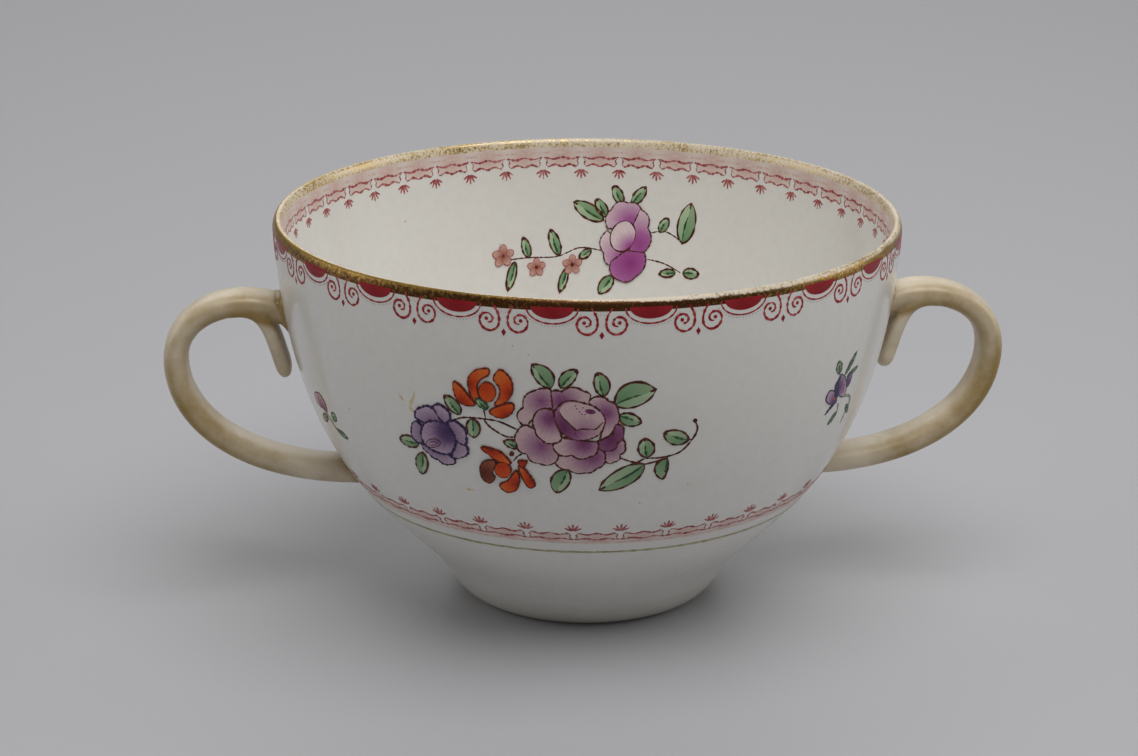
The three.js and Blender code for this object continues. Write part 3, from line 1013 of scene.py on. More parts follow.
# Leaves of the front spray: base, tip, belly on the left and on the right
SPRAY_LEAVES = (
    ((-2.9, 6.4), (-5.7, 10.0), 1.0, 1.65),
    ((-1.5, 6.5), (0.8, 9.4), 1.25, 0.8),
    ((4.7, 5.2), (3.8, 9.0), 0.95, 1.3),
    ((6.3, 3.8), (12.3, 6.0), 2.5, 1.5),
    ((6.9, 1.9), (10.2, 0.6), 0.95, 1.15),
    ((-0.7, -7.6), (-2.4, -12.2), 1.15, 1.6),
    ((10.7, -6.8), (4.0, -11.5), 1.8, 1.5),
    ((11.1, -5.6), (10.7, -2.2), 1.15, 1.3),
    ((17.4, -3.0), (13.6, -1.5), 1.4, 1.1),
    ((14.2, -6.0), (13.5, -10.0), 0.35, 1.6),
    ((-16.8, 0.7), (-19.3, 3.5), 0.85, 1.05),
    ((-14.9, 0.2), (-14.8, -3.1), 1.15, 1.0),
    ((-24.2, -6.0), (-27.9, -5.9), 1.1, 1.0),
    ((-23.7, -7.6), (-24.1, -12.0), 1.0, 1.2),
    ((-7.8, -4.0), (-10.1, -3.1), 0.6, 0.8),
)
SPRAY_STEMS = (
    ((6.9, -5.4), (9.3, -6.4), (10.9, -5.8), (13.3, -5.8), (16.1, -5.1), (18.1, -2.9), (18.8, -1.2),
     (18.4, 0.1)),
    ((10.6, -6.9), (12.4, -6.5), (13.9, -6.0)),
    ((17.2, -3.0), (17.9, -3.0)),
    ((-18.3, -0.7), (-16.3, 0.2), (-13.3, 0.4), (-10.7, 0.2), (-8.0, -0.9)),
    ((-13.1, 0.3), (-12.1, -0.9), (-9.9, -2.2), (-8.3, -2.2)),
    ((-13.1, 2.2), (-12.8, 0.5)),
    ((-6.1, -4.8), (-7.1, -5.0), (-8.1, -5.7), (-8.7, -6.6)),
    ((6.0, 4.4), (6.6, 3.6), (7.0, 1.6)),
)
SPRAY_SMEARS = (
    ((-24.5, 3.2), (-24.7, 2.3), (-25.2, 1.2), (-25.4, 0.2), (-24.9, -0.5)),
    ((-27.4, 2.2), (-27.0, 1.6), (-26.6, 1.2)),
    ((-16.4, -13.2), (-15.8, -13.4), (-15.2, -13.2)),
)

# Sprigs beside the handles: stems, leaves (base, tip, belly), petals (dark base and outline) and strokes
VIOLET_SPRIG_STEMS = (
    ((-2.0, 4.2), (-1.4, 3.2), (-0.9, 2.4)),
    ((0.4, -2.2), (0.9, -3.2), (0.9, -4.2)),
    ((1.9, -1.4), (4.2, -2.2), (5.0, -3.7), (4.4, -5.6), (4.1, -7.0)),
)
VIOLET_SPRIG_LEAVES = (
    ((0.4, 2.8), (2.8, 5.9), 0.42),
    ((1.2, 2.1), (4.3, 3.0), 0.35),
    ((-1.5, 3.5), (-2.6, 5.7), 0.7),
    ((0.9, -4.0), (-0.8, -5.7), 0.4),
    ((3.9, -3.6), (5.4, -5.4), 0.35),
)
VIOLET_SPRIG_PETALS = (
    ((1.6, 0.4), (2.5, 2.4), (1.5, 1.9), (1.4, 0.3), (2.3, 0.1), (2.9, 1.3)),
    ((-1.3, 0.6), (-1.2, 3.0), (0.3, 2.4), (1.6, 0.6), (1.9, -1.3), (0.3, -1.0), (-1.0, 0.6)),
    ((-0.8, -1.6), (-3.4, 0.9), (-3.8, -0.4), (-2.4, -1.6), (-0.4, -1.9), (-1.0, -0.5), (-2.2, 0.6)),
)
VIOLET_SPRIG_STROKES = (
    ("outline_violet", 0.75, (-1.0, 2.8), (-1.7, 1.6), (-1.4, 0.1), (-0.4, -1.0)),
    ("outline_violet", 0.6, (-0.7, -1.8), (-1.8, -2.5), (-2.8, -3.4)),
    ("rose_lilac", 0.5, (0.2, 1.8), (0.8, 0.4), (0.9, -0.8)),
)
ROSE_SPRIG_PETALS = (
    ((-3.2, 2.8), (-4.8, 2.4), (-5.4, 1.0), (-4.0, 0.2), (-2.6, 0.6)),
    ((-2.9, 3.2), (-1.6, 2.7), (-1.0, 1.6), (-1.7, 0.0), (-2.9, 0.4), (-3.4, 1.8)),
)

# Inside: leaves of the trail (base, tip, belly), its stems, its blooms (right, up, size) and its rose
INSIDE_LEAVES = (
    ((-0.8, 6.4), (-2.4, 9.6), 0.9),
    ((1.0, 6.4), (3.4, 9.6), 0.9),
    ((-4.0, 3.4), (-9.4, 6.6), 1.3),
    ((-3.4, 4.0), (-5.4, 7.2), 0.9),
    ((10.4, 0.2), (11.8, 7.4), 1.6),
    ((6.2, 1.8), (7.6, 4.4), 0.8),
    ((9.4, -5.0), (6.4, -5.6), 0.7),
    ((10.8, -5.0), (13.8, -4.8), 0.9),
    ((-11.6, -2.8), (-13.4, 1.8), 0.9),
    ((-6.0, -1.8), (-8.0, -3.4), 0.7),
    ((-17.0, -3.0), (-18.2, 0.6), 0.75),
    ((-19.6, -3.6), (-20.6, -8.6), 0.8),
    ((-10.2, -5.2), (-11.2, -9.4), 0.7),
    ((-2.0, -6.4), (-4.2, -9.6), 1.1),
)
INSIDE_STEMS = (
    ((-4, -2), (-8, -1.5), (-12, -3), (-17, -3), (-21.5, -3.2)),
    ((3, -3), (7, -3.6), (10.4, -5)),
    ((3, 1), (7, 2), (10.4, 0.4)),
)
INSIDE_BLOOMS = ((-9.2, -4.5, 1.5), (-15.6, -4.8, 1.4), (-21.8, -2.4, 1.7))
INSIDE_ROSE = (
    ((0.8, 3.2), 5.0, 0.2, (-3.2, 2.0, 0.2), (-2.6, 5.4, 0.25), (0.3, 6.6, 0.22), (2.8, 5.4), (2.6, 2.0)),
    ((2.6, -0.6), 6.4, 0.1, (2.5, 5.6, 0.25), (4.0, 2.4, 0.2), (3.8, -1.6, 0.1), (0.8, -3.0), (1.2, 2.4)),
    ((-0.8, -3.0), 4.4, 0.3, (-3.2, 1.6, 0.25), (-3.7, -2.4, 0.25), (-1.5, -4.8), (-0.3, -1.2)),
    ((1.2, -4.0), 8.5, 0.0, (-2.3, -3.8, 0.25), (-0.6, -7.2, 0.2), (2.1, -6.4, 0.2), (3.6, -2.0),
     (0.4, -1.8)),
)

# One volute of the rim border, drawn from its stem under the lip to its eye
VOLUTE = (
    (-1.5, 0.0), (-0.85, 1.1), (-0.62, 2.3), (-0.95, 3.4), (-2.0, 4.0), (-3.15, 3.55), (-3.6, 2.45),
    (-3.1, 1.5), (-2.2, 1.35), (-1.62, 1.95), (-1.8, 2.6), (-2.35, 2.75),
)
VOLUTE_EYE = (-2.55, 2.2)


def paint_red_flower(art, petals, heart):
    """Curled petals round an oval heart, which is given as its middle and half its sizes."""
    for base, *outline in petals:
        art.petal(smooth(outline, True), "iron_red", "outline_red", base, reach=3.0, width=0.24)
    x, y = heart[:2]
    dark_side = (x - 0.4, y + 0.8)
    art.petal(oval(*heart), "iron_red", "outline_red", dark_side, reach=4.2, width=0.16, darkest=0.3)


# Share of a rose petal's reach at which its tone is already pale
PALE_RIM = 0.86


def paint_rose(art):
    """A full rose: ruffled petals round a bud with a pale heart."""
    for base, reach, darkest, *outline in ROSE_PETALS:
        art.petal(lobed(outline), "rose_lilac", "outline_brown", base, reach * PALE_RIM, 0.27, darkest)
    art.petal(smooth(ROSE_BUD, True), "rose_lilac", "outline_brown", (-1.2, 0.0), reach=6.0)
    art.next_layer()
    art.wash(smooth(ROSE_HEART, True), "rose_lilac", (1.9, -0.8), reach=3.2, darkest=0.45)
    art.line(smooth((*ROSE_HEART[6:], ROSE_HEART[0])), "outline_brown", 0.24)
    art.line([(0.6, -0.4), (0.55, -0.9), (0.5, -1.4)], "outline_brown", 0.18)
    art.next_layer()
    art.wash(oval(2.75, 2.75, 0.8, 0.42, tilt=-10), "rose_lilac", (2.75, 2.75), reach=3.4)
    for x, y in ROSE_SPOTS:
        art.dot(x, y, 0.12, "rose_lilac", tone=0.0)


def paint_violet(art):
    """A round violet with a ringed eye."""
    for outline in VIOLET_PETALS:
        art.petal(lobed(outline), "violet_blue", "outline_violet", VIOLET_MIDDLE, reach=5.0, width=0.34)
    heart = smooth(VIOLET_HEART, True)
    art.petal(heart, "violet_blue", "outline_violet", (-18.8, -2.6), reach=4.4, width=0.4)
    art.next_layer()
    eye = oval(-21.5, -5.2, 1.35, 0.75, tilt=24)
    art.wash(eye, "violet_blue", (-20.6, -4.4), reach=2.0, darkest=0.3)
    art.line(eye, "outline_brown", 0.16, closed=True)
    art.line(oval(-21.6, -5.3, 0.75, 0.36, tilt=24, sides=12), "outline_brown", 0.14, closed=True)


def paint_spray(art):
    """A large rose between a violet and two iron-red flowers, with leaves on thin stems."""
    for smear in SPRAY_SMEARS:
        art.line(smooth(smear), "worn_yellow", 0.55, wobble=0.6)
    for stem in SPRAY_STEMS:
        art.line(smooth(stem), "outline_brown", 0.3)
    art.dot(18.4, 0.2, 0.38, "outline_brown", sides=8, tone=0.0)
    for base, tip, left, right in SPRAY_LEAVES:
        art.leaf(base, tip, left, right)
    paint_rose(art)
    paint_violet(art)
    paint_red_flower(art, UPPER_RED, heart=(-12.4, 5.1, 1.3, 1.6))
    art.leaf((-12.5, 2.3), (-14.2, 3.8), 0.5, 0.55, line="vein_green")
    brown = smooth(BROWN_PETAL, True)
    art.petal(brown, "iron_brown", "outline_brown", (-13.4, -9.4), reach=3.2, width=0.18)
    paint_red_flower(art, LOWER_RED, heart=(-10.3, -8.3, 1.25, 1.5))
    art.dot(-8.9, -5.2, 0.38, "iron_brown", sides=8, tone=0.2)


def paint_violet_sprig(art):
    """A small violet on its side, with dark strokes, a red eye and thin grey leaves."""
    for stem in VIOLET_SPRIG_STEMS:
        art.line(smooth(stem), "leaf_grey", 0.5)
    for base, tip, belly in VIOLET_SPRIG_LEAVES:
        art.leaf(base, tip, belly, belly, "leaf_grey", "vein_green")
    for base, *outline in VIOLET_SPRIG_PETALS:
        art.petal(smooth(outline, True), "violet_blue", "outline_violet", base, reach=3.0, width=0.2)
    art.next_layer()
    for kind, width, *stroke in VIOLET_SPRIG_STROKES:
        art.line(smooth(stroke), kind, width)
    art.dot(-1.4, -0.9, 0.26, "iron_red", sides=8, tone=0.6)


def paint_rose_sprig(art):
    """A small rose in profile over a thin stem, with three leaves."""
    art.line(smooth(((-2.0, 0.0), (-1.3, -1.0), (-0.3, -2.3), (0.5, -2.8))), "outline_brown", 0.3)
    art.leaf((0.1, -0.9), (1.6, 0.8), 0.65, 0.65, line="vein_green")
    art.leaf((0.3, -2.6), (3.2, -3.2), 0.5, 0.5, line="vein_green")
    art.leaf((-2.2, -0.8), (-4.8, -2.4), 0.6, 0.6)
    for outline in ROSE_SPRIG_PETALS:
        art.petal(smooth(outline, True), "rose_lilac", "outline_brown", (-2.4, 0.2), reach=3.4, width=0.22)
    art.dot(-2.3, 1.6, 0.3, "iron_red", sides=8, tone=0.8)


def paint_inside_spray(art):
    """A tall rose with leaf pairs, and a trail of small red blooms to its left."""
    for stem in INSIDE_STEMS:
        art.line(smooth(stem), "outline_brown", 0.22)
    for base, tip, belly in INSIDE_LEAVES:
        art.leaf(base, tip, belly, belly)
    for x, y, size in INSIDE_BLOOMS:
        for degrees in range(20, 380, 72):
            a = math.radians(degrees)
            right, up = x + size * 0.6 * math.cos(a), y + size * 0.6 * math.sin(a)
            petal = oval(right, up, size * 0.58, size * 0.42, tilt=degrees)
            art.petal(petal, "bloom_rose", "border_rose", (x, y), reach=size * 1.3, width=0.14)
        art.dot(x, y, 0.35, "iron_brown", sides=8)
    for base, reach, darkest, *outline in INSIDE_ROSE:
        art.petal(lobed(outline), "rose_magenta", "outline_brown", base, reach, 0.22, darkest)
    bud = oval(-0.4, 0.7, 2.2, 2.8, tilt=-20)
    art.petal(bud, "rose_magenta", "outline_brown", (1.4, -1.6), reach=3.6, width=0.22)


def half_ring(half_width, depth, steps):
    """The lower half of an oval that hangs from the upper edge of the border."""
    turns = (math.pi * i / steps for i in range(steps + 1))
    return [Vector((half_width * math.cos(a), -depth * math.sin(a))) for a in turns]


def paint_scroll_border(art, repeats):
    """Half moons with a ring and a dotted fringe, and between them pairs of volutes with a drop."""
    kind = "border_crimson"
    volute = smooth(VOLUTE, step=0.32)
    drop = [(0, -3.55), (0.36, -4.1), (0, -4.75), (-0.36, -4.1)]
    moon = [p + Vector((0, 0.1)) for p in half_ring(3.15, 1.8, 20)][::-1]
    ring = half_ring(3.75, 2.42, 26)
    fringe = half_ring(4.35, 2.85, 26)[3:-3]
    for _ in art.round_the_cup(repeats):
        for hand in (1, -1):
            art.line([(hand * x, -y) for x, y in volute], kind, 0.36, taper=0.6)
            art.dot(hand * VOLUTE_EYE[0], -VOLUTE_EYE[1], 0.3, kind, sides=7)
            for degrees in range(40, 390, 70):
                a = math.radians(degrees)
                art.dot(hand * 0.42 + 0.26 * math.cos(a), -0.75 + 0.34 * math.sin(a), 0.06, kind, sides=4)
        art.shell(drop, [(2, 1, 0), (3, 2, 0)], kind, [0.1] * 4, drop)
        art.turn += math.pi / repeats
        art.wash(moon, kind, (0, -0.9), reach=9.0, grain=0.35)
        art.line(ring, kind, 0.24, taper=0.8, wobble=0.3)
        for p in fringe:
            art.dot(p.x, p.y, 0.065, kind, sides=4)


def strip(half_width, top, bottom):
    return [(-half_width, top), (-half_width, bottom), (half_width, bottom), (half_width, top)]


def wave(half_width, level, depth, steps):
    """A line of two waves across the width."""
    turns = [2 * math.pi * i / steps for i in range(2 * steps + 1)]
    return [(half_width * (a / math.pi / 2 - 1), level + depth * math.cos(a)) for a in turns]


def paint_fan_border(art, repeats, wash_end=-4.0):
    """Fans over a row of cartouches drawn with wavy lines, on a pale wash."""
    reach = float(art.wall.at(art.arc)[0]) / MM * math.pi / repeats
    inner = reach - 0.8
    end = ((inner, -1.35), (inner + 0.3, -1.8), (inner + 0.1, -2.3), (inner + 0.4, -2.75))
    for _ in art.round_the_cup(repeats):
        art.wash(strip(inner, -1.6, -2.9), "wash_pink", (0, -3.2), reach=3.4)
        art.wash(strip(reach, -2.9, wash_end), "wash_pink", (0, -3.2), reach=3.4)
        art.line(wave(inner, -1.5, 0.2, 9), "border_rose", 0.35, taper=0.7, wobble=0.6)
        art.line(wave(reach * 0.95, -2.8, -0.16, 11), "border_rose", 0.39, taper=0.7, wobble=0.6)
        art.line(wave(reach, -3.8, 0.0, 9), "wash_pink", 0.4, taper=1.0)
        for hand in (1, -1):
            art.line(smooth([(hand * x, y) for x, y in end]), "border_rose", 0.26)
        art.turn += math.pi / repeats
        for degrees in (-66, -34, 0, 34, 66):
            lean = math.sin(math.radians(degrees))
            rise = math.cos(math.radians(degrees))
            foot, tip = Vector((lean * 0.2, -0.75)), Vector((lean * 1.35, rise * 1.6 - 0.75))
            spoke = [foot.lerp(tip, i / 4) for i in range(5)]
            art.line(spoke, "border_rose", 0.43, taper=0.5, wobble=0.2)


BAND_STEPS = 360


def paint_lower_border(art, repeats, band_height):
    """The fan border, and a thin band round the cup below it."""
    paint_fan_border(art, repeats)
    art.arc = art.wall.arc_at(band_height)
    once_round = 2 * math.pi * art.wall.radius_at(band_height) / MM
    band = [(once_round * i / BAND_STEPS, 0.0) for i in range(BAND_STEPS + 1)]
    art.line(band, "band_olive", 0.52, taper=1.0, wobble=0.3)


def painted(context, name, wall, turn, height, design, *details, **hand):
    """One painted piece: a design laid on a wall, by its turn from the front and its height."""
    art = Painting(wall, turn, height, **hand)
    design(art, *details)
    return art.finish(name, finishes(context))


# Operators

# Lamps: name, place, diameter and the setting that holds the power
LAMPS = (
    ("overhead_softbox", (0.1, -0.26, 0.8), 0.75, "key_power"),
    ("right_window", (1.2, 0.15, 0.5), 1.0, "right_power"),
    ("left_window", (-1.2, 0.2, 0.5), 1.0, "left_power"),
    ("backdrop_softbox", (0.1, 2.0, 1.2), 2.4, "back_power"),
)
LAMP_AIM = Vector((0, 0, 0.03))
FLOOR_SIZE = 6
CLOUD = 0.94  # brightness of the floor's faint clouds, as a share of its own
CLOUD_COVER = 0.06  # how far the densest of them covers it


def looking(way):
    """The turn of a lamp or camera that looks along a direction."""
    return way.to_track_quat("-Z", "Y")


class CUP_OT_stage(bpy.types.Operator):
    """Pale floor, four soft lamps, a soft sky and the camera"""

    bl_idname = "cup.stage"
    bl_label = "Stage"

    def execute(self, context):
        stage = context.scene.cup_stage
        self.add_floor(context, stage)
        for name, place, diameter, power_name in LAMPS:
            deselect()
            bpy.ops.object.light_add(type="AREA", location=place)
            lamp = context.object
            lamp.name = name
            lamp.data.shape = "DISK"
            lamp.data.size = diameter
            lamp.data.energy = getattr(stage, power_name)
            lamp.rotation_euler = looking(LAMP_AIM - lamp.location).to_euler()
        self.add_sky(context, stage)
        self.add_camera(context, stage)
        context.scene.view_settings.view_transform = "Standard"
        return {"FINISHED"}

    def add_floor(self, context, stage):
        deselect()
        bpy.ops.mesh.primitive_grid_add(x_subdivisions=8, y_subdivisions=8, size=FLOOR_SIZE)
        floor = context.object
        floor.name = floor.data.name = "floor"
        made, tree, shader = material("Plain pale floor", roughness=0.45)
        cover = ramp(tree, noise(tree, object_place(tree), scale=3.0), 0.2, 0.8, to_high=CLOUD_COVER)
        cloud = [value * CLOUD for value in stage.floor]
        tree.links.new(blend(tree, cover, rgba(stage.floor), rgba(cloud)), shader["Base Color"])
        shader["Specular IOR Level"].default_value = 0.3
        floor.data.materials.append(made)

    def add_sky(self, context, stage):
        """Even light from all round, which looks brighter than it shines."""
        world = bpy.data.worlds.new("Soft room")
        context.scene.world = world
        world.use_nodes = True
        tree = world.node_tree
        sky = tree.nodes["Background"].inputs
        sky["Color"].default_value = (1.0, 1.0, 1.0, 1.0)
        path = add(tree, "ShaderNodeLightPath").outputs
        seen = maths(tree, "MAXIMUM", path["Is Camera Ray"], path["Is Transmission Ray"])
        strength = ramp(tree, seen, 0.0, 1.0, to_low=stage.sky, to_high=stage.backdrop)
        tree.links.new(strength, sky["Strength"])

    def add_camera(self, context, stage):
        middle = Vector((0, 0, context.scene.cup_sizes.cup_height / 2))
        level, rise = math.cos(stage.elevation), math.sin(stage.elevation)
        back = Vector((math.sin(stage.azimuth) * level, -math.cos(stage.azimuth) * level, rise))
        deselect()
        bpy.ops.object.camera_add(location=middle + back * stage.distance)
        camera = context.object
        camera.data.lens = stage.lens
        camera.data.clip_start = 0.01
        turn = looking(-back).to_matrix()
        pixel = stage.distance / (stage.lens / camera.data.sensor_width * IMAGE_WIDTH)
        aim = middle - turn.col[0] * stage.aim_left * pixel + turn.col[1] * stage.aim_up * pixel
        look = looking(aim - camera.location).to_matrix()
        camera.rotation_euler = (look @ Matrix.Rotation(stage.roll, 3, "Z")).to_euler()
        context.scene.camera = camera


WALL_RINGS = 60
CORNER_RINGS = 10
FLOOR_RINGS = 6
FOOT_EDGE_RINGS = 6
FOOT_ROUND_RINGS = 12


class CUP_OT_bowl(bpy.types.Operator):
    """Turned bowl: outer wall, rim seat, inner wall, soft inner corner and floor"""

    bl_idname = "cup.bowl"
    bl_label = "Bowl"

    def execute(self, context):
        sizes = context.scene.cup_sizes
        outer, inner = Wall(sizes), Wall(sizes, inside=True)
        underside, floor = sizes.foot_height, sizes.foot_height + sizes.floor
        profile = [(sizes.foot_top_radius * i / FLOOR_RINGS, underside) for i in range(FLOOR_RINGS)]
        profile += outer.profile(0, outer.arc_at(sizes.seat_height), WALL_RINGS)
        profile += inner.profile(inner.arc_at(sizes.seat_height), sizes.inside_corner, WALL_RINGS)
        corner = float(inner.radii[0])
        flat_end = corner - sizes.inside_corner
        soft = bezier_line((profile[-1], (corner, floor), (flat_end, floor)), CORNER_RINGS)
        profile += [tuple(p) for p in soft[1:]]
        profile += [(flat_end * (1 - i / FLOOR_RINGS), floor) for i in range(1, FLOOR_RINGS + 1)]
        bowl = turned("glazed_bowl", profile)
        finish(context, bowl, "glaze", "glaze", "bowl")
        return {"FINISHED"}


class CUP_OT_foot(bpy.types.Operator):
    """Turned foot ring, a lower part of the wall's own line that rounds onto the table"""

    bl_idname = "cup.foot"
    bl_label = "Foot ring"

    def execute(self, context):
        sizes = context.scene.cup_sizes
        inner, top, edge = sizes.foot_inside_radius, sizes.foot_height, sizes.foot_edge
        slope = 1 / math.tan(sizes.wall_foot_angle)
        toe = sizes.foot_top_radius - top * slope
        run = sizes.foot_round * slope
        inner_edge = ((inner, edge), (inner, 0), (inner + edge, 0))
        rounding = ((toe - run, 0), (toe, 0), (toe + run, sizes.foot_round))
        profile = [(inner, top)]
        for corners, rings in ((inner_edge, FOOT_EDGE_RINGS), (rounding, FOOT_ROUND_RINGS)):
            profile += [tuple(p) for p in bezier_line(corners, rings)]
        profile += [(sizes.foot_top_radius, top), (inner, top)]
        foot = turned("turned_foot", profile)
        finish(context, foot, "glaze", "glaze", "foot_ring")
        return {"FINISHED"}


# Gilding round the lip by degrees from the front: how far over the lip the outer band reaches, how much is
# left of it, how much is left beyond it, and its brightness: partly darkened gilding, partly painted
# reflection, darkest at the front
LIP_WEAR = (
    (-180, 0.50, 0.50, 0.42, 0.90),
    (-120, 0.50, 0.65, 0.46, 0.85),
    (-95, 0.46, 0.85, 0.42, 0.60),
    (-60, 0.43, 1.00, 0.36, 0.32),
    (-35, 0.46, 1.00, 0.32, 0.18),
    (-12, 0.40, 1.00, 0.22, 0.06),
    (6, 0.27, 1.00, 0.20, 0.02),
    (18, 0.20, 1.00, 0.34, 0.10),
    (35, 0.20, 0.95, 0.41, 0.38),
    (60, 0.24, 0.85, 0.42, 0.52),
    (95, 0.26, 0.58, 0.38, 0.60),
    (140, 0.40, 0.42, 0.37, 0.75),
    (180, 0.50, 0.50, 0.42, 0.90),
)
LIP_STEPS = 28
BAND_FADE = 0.14  # share of the way over which the outer band gives way
CREST, CREST_SPREAD = 0.42, 0.12  # where the painted highlight on the crest of the left half lies, and how widely
# How much the painted highlight brightens the crest
CREST_HIGHLIGHT = 0.5
CREST_START = 30  # degrees left of the front by which that painted highlight is full


def lip_gilding(share, degrees):
    """Gilding kept and its brightness with painted reflection and highlight, by the share of the way over the
    lip from its outer to its inner edge.
    """
    turns, *columns = zip(*LIP_WEAR)
    reach, band, beyond, polish = (np.interp(degrees, turns, column) for column in columns)
    over = np.clip((reach - share) / BAND_FADE + 0.5, 0, 1)
    crest = np.exp(-(((share - CREST) / CREST_SPREAD) ** 2)) * np.clip(-degrees / CREST_START, 0, 1)
    return beyond + (band - beyond) * over, polish + CREST_HIGHLIGHT * crest


class CUP_OT_lip(bpy.types.Operator):
    """Rounded gilded lip on the upper edge of the bowl"""

    bl_idname = "cup.lip"
    bl_label = "Gilded lip"

    def execute(self, context):
        sizes = context.scene.cup_sizes
        half = sizes.rim_wall / 2
        rise = sizes.cup_height - sizes.seat_height
        middle = sizes.rim_radius - half
        turns = [math.pi * i / LIP_STEPS for i in range(LIP_STEPS + 1)]
        crown = [(middle + half * math.cos(a), sizes.seat_height + rise * math.sin(a)) for a in turns]
        lip = turned("gilded_lip", [*crown, crown[0]], segments=432)
        x, y, z = vertices_of(lip).T
        across = (np.hypot(x, y) - middle) / half
        share = np.arctan2((z - sizes.seat_height) / rise, across) / math.pi
        kept, polish = lip_gilding(share, np.degrees(np.arctan2(x, -y)))
        add_layer(lip, "gilding", kept)
        add_layer(lip, "polish", polish)
        finish(context, lip, "lip", "gilt", "gilt_lip")
        return {"FINISHED"}


FUSE_VOXEL = 0.00032
SOFTEN_ROUNDS = 8
TIP_ROUNDING = 0.985  # less than 1, so that the spur's last section keeps a size
END_DEPTH = 0.0012  # how far inside the wall the strap's ends stop
JOINT_REACH = 0.003  # how far out from the wall the gilding of the joints, partly painted shade, runs
WORN_AND_LIT_END = (0.86, 0.92)  # shares of the strap over which its lower end turns worn and pale, partly painted light on an end that lies in shade
WORN_AND_LIT_SHARE = 0.7  # share of its gilding that is gone there, which also lightens the end as painted light
# Gilding left all over a handle, what its sheltered face adds (partly painted shade on the faces that turn
# down), what its sides and its edges add, and what its spur (kept pale, partly painted light) and its joints
# (partly painted shade) have
GILDING = {"all": 0.22, "sheltered_and_shaded": 0.2, "side": 0.2, "edge": 0.22, "spur": 0.15, "joint_and_shade": 0.75}


class CUP_OT_handles(bpy.types.Operator):
    """Strap handles with a spur that hangs along the wall, one modelled and one copied"""

    bl_idname = "cup.handles"
    bl_label = "Handles"

    def execute(self, context):
        handle, wall = context.scene.cup_handles, Wall(context.scene.cup_sizes)
        line = loop_line(handle, wall)
        run = np.concatenate(([0], np.cumsum([(b - a).length for a, b in zip(line, line[1:])])))
        thinning = handle.thickness_low / handle.thickness_top - 1
        strap = strap_mesh(line, 1 + thinning * run / run[-1], handle.thickness_top, handle.width_top)
        hanging = spur_line(handle, wall, line)
        to_tip = np.array([(hanging[-1] - p).length for p in hanging]) / handle.spur_thickness
        tip = np.sqrt(1 - np.clip(1 - to_tip, 0, TIP_ROUNDING) ** 2)
        spur = strap_mesh(hanging, tip, handle.spur_thickness, handle.width_top)
        select_only(strap, spur)
        bpy.ops.object.join()
        right = context.object
        right.name = right.data.name = "right_strap_handle"
        fuse = right.modifiers.new("Fuse", "REMESH")
        fuse.mode = "VOXEL"
        fuse.voxel_size = FUSE_VOXEL
        soften = right.modifiers.new("Soften", "SMOOTH")
        soften.factor = 0.5
        soften.iterations = SOFTEN_ROUNDS
        for modifier in ("Fuse", "Soften"):
            bpy.ops.object.modifier_apply(modifier=modifier)
        self.settle(right, line, handle, wall)
        bpy.ops.object.shade_smooth()
        left = half_turned_copy(right, "left_strap_handle")
        finish(context, right, "handle", "worn_gilt", "right_handle")
        finish(context, left, "handle", "worn_gilt", "left_handle")
        return {"FINISHED"}

    def settle(self, piece, line, handle, wall):
        """Stops the ends inside the wall, and records the gilding kept along edges and joints, with painted
        shade and light in it.
        """
        places = vertices_of(piece)
        reach = np.hypot(places[:, 0], places[:, 1])
        surface = np.interp(places[:, 2], wall.heights, wall.radii)
        core = surface - END_DEPTH
        deep = reach < core
        places[deep, :2] *= (core / reach)[deep, None]
        piece.data.vertices.foreach_set("co", places.ravel())
        path = flat_array(line)
        flat = places[:, [0, 2]]
        nearest = np.array([np.argmin(np.hypot(*(path - p).T)) for p in flat])
        along = unit_rows(np.gradient(path, axis=0))[nearest]
        offset = flat - path[nearest]
        inward = offset[:, 0] * along[:, 1] - offset[:, 1] * along[:, 0]
        share = nearest / (len(line) - 1)
        half_thickness = (handle.thickness_top + (handle.thickness_low - handle.thickness_top) * share) / 2
        half_width = (handle.width_top + (handle.width_low - handle.width_top) * share) / 2
        inner = np.clip(inward / half_thickness + 0.5, 0, 1)
        side = np.clip(np.abs(places[:, 1]) / half_width * 2 - 1, 0, 1)
        edge = np.clip(side + np.abs(inward) / half_thickness - 1, 0, 1)
        below = np.clip(share * 4 - 1, 0, 1)  # 0 on the crest of the loop, 1 from its outermost point on
        # Painted shade: faces that turn down keep more ochre, partly gilding that is not rubbed there.
        sheltered_and_shaded = inner + (1 - 2 * inner) * below
        kept = GILDING["all"] + GILDING["sheltered_and_shaded"] * sheltered_and_shaded
        kept += GILDING["side"] * side + GILDING["edge"] * edge
        # Painted light: the lower end turns paler, partly worn gilding.
        kept *= 1 - WORN_AND_LIT_SHARE * np.clip((share - WORN_AND_LIT_END[0]) / (WORN_AND_LIT_END[1] - WORN_AND_LIT_END[0]), 0, 1)
        spur = np.clip((np.abs(inward) - half_thickness) / MM, 0, 1)
        # The spur is kept pale, partly painted light.
        kept += (GILDING["spur"] - kept) * spur
        # Painted shade where the strap meets the wall, partly gilding kept at the joints.
        joint_and_shade = np.clip(1 - (reach - surface) / JOINT_REACH, 0, 1) * (1 - spur)
        add_layer(piece, "gilding", np.maximum(kept, GILDING["joint_and_shade"] * joint_and_shade))
        piece.data.update()


FILLET_SIDES = 56
FILLET_STEPS = 6
FILLET_SQUARENESS = 0.6
FILLET_TUCK = 0.00012  # how far its upper edge is sunk in the strap, and its hollow stands off the corner
FILLET_SEAT = 0.00004  # how far its lower edge is sunk in the wall
FILLET_BACK = 0.0007  # how far its back reaches in under the strap
FILLET_DEPTH = 0.0006  # how deep its back lies in the wall
WALL_SEARCH = 0.012  # how far along the strap the wall is looked for, each way
WALL_HALVINGS = 40


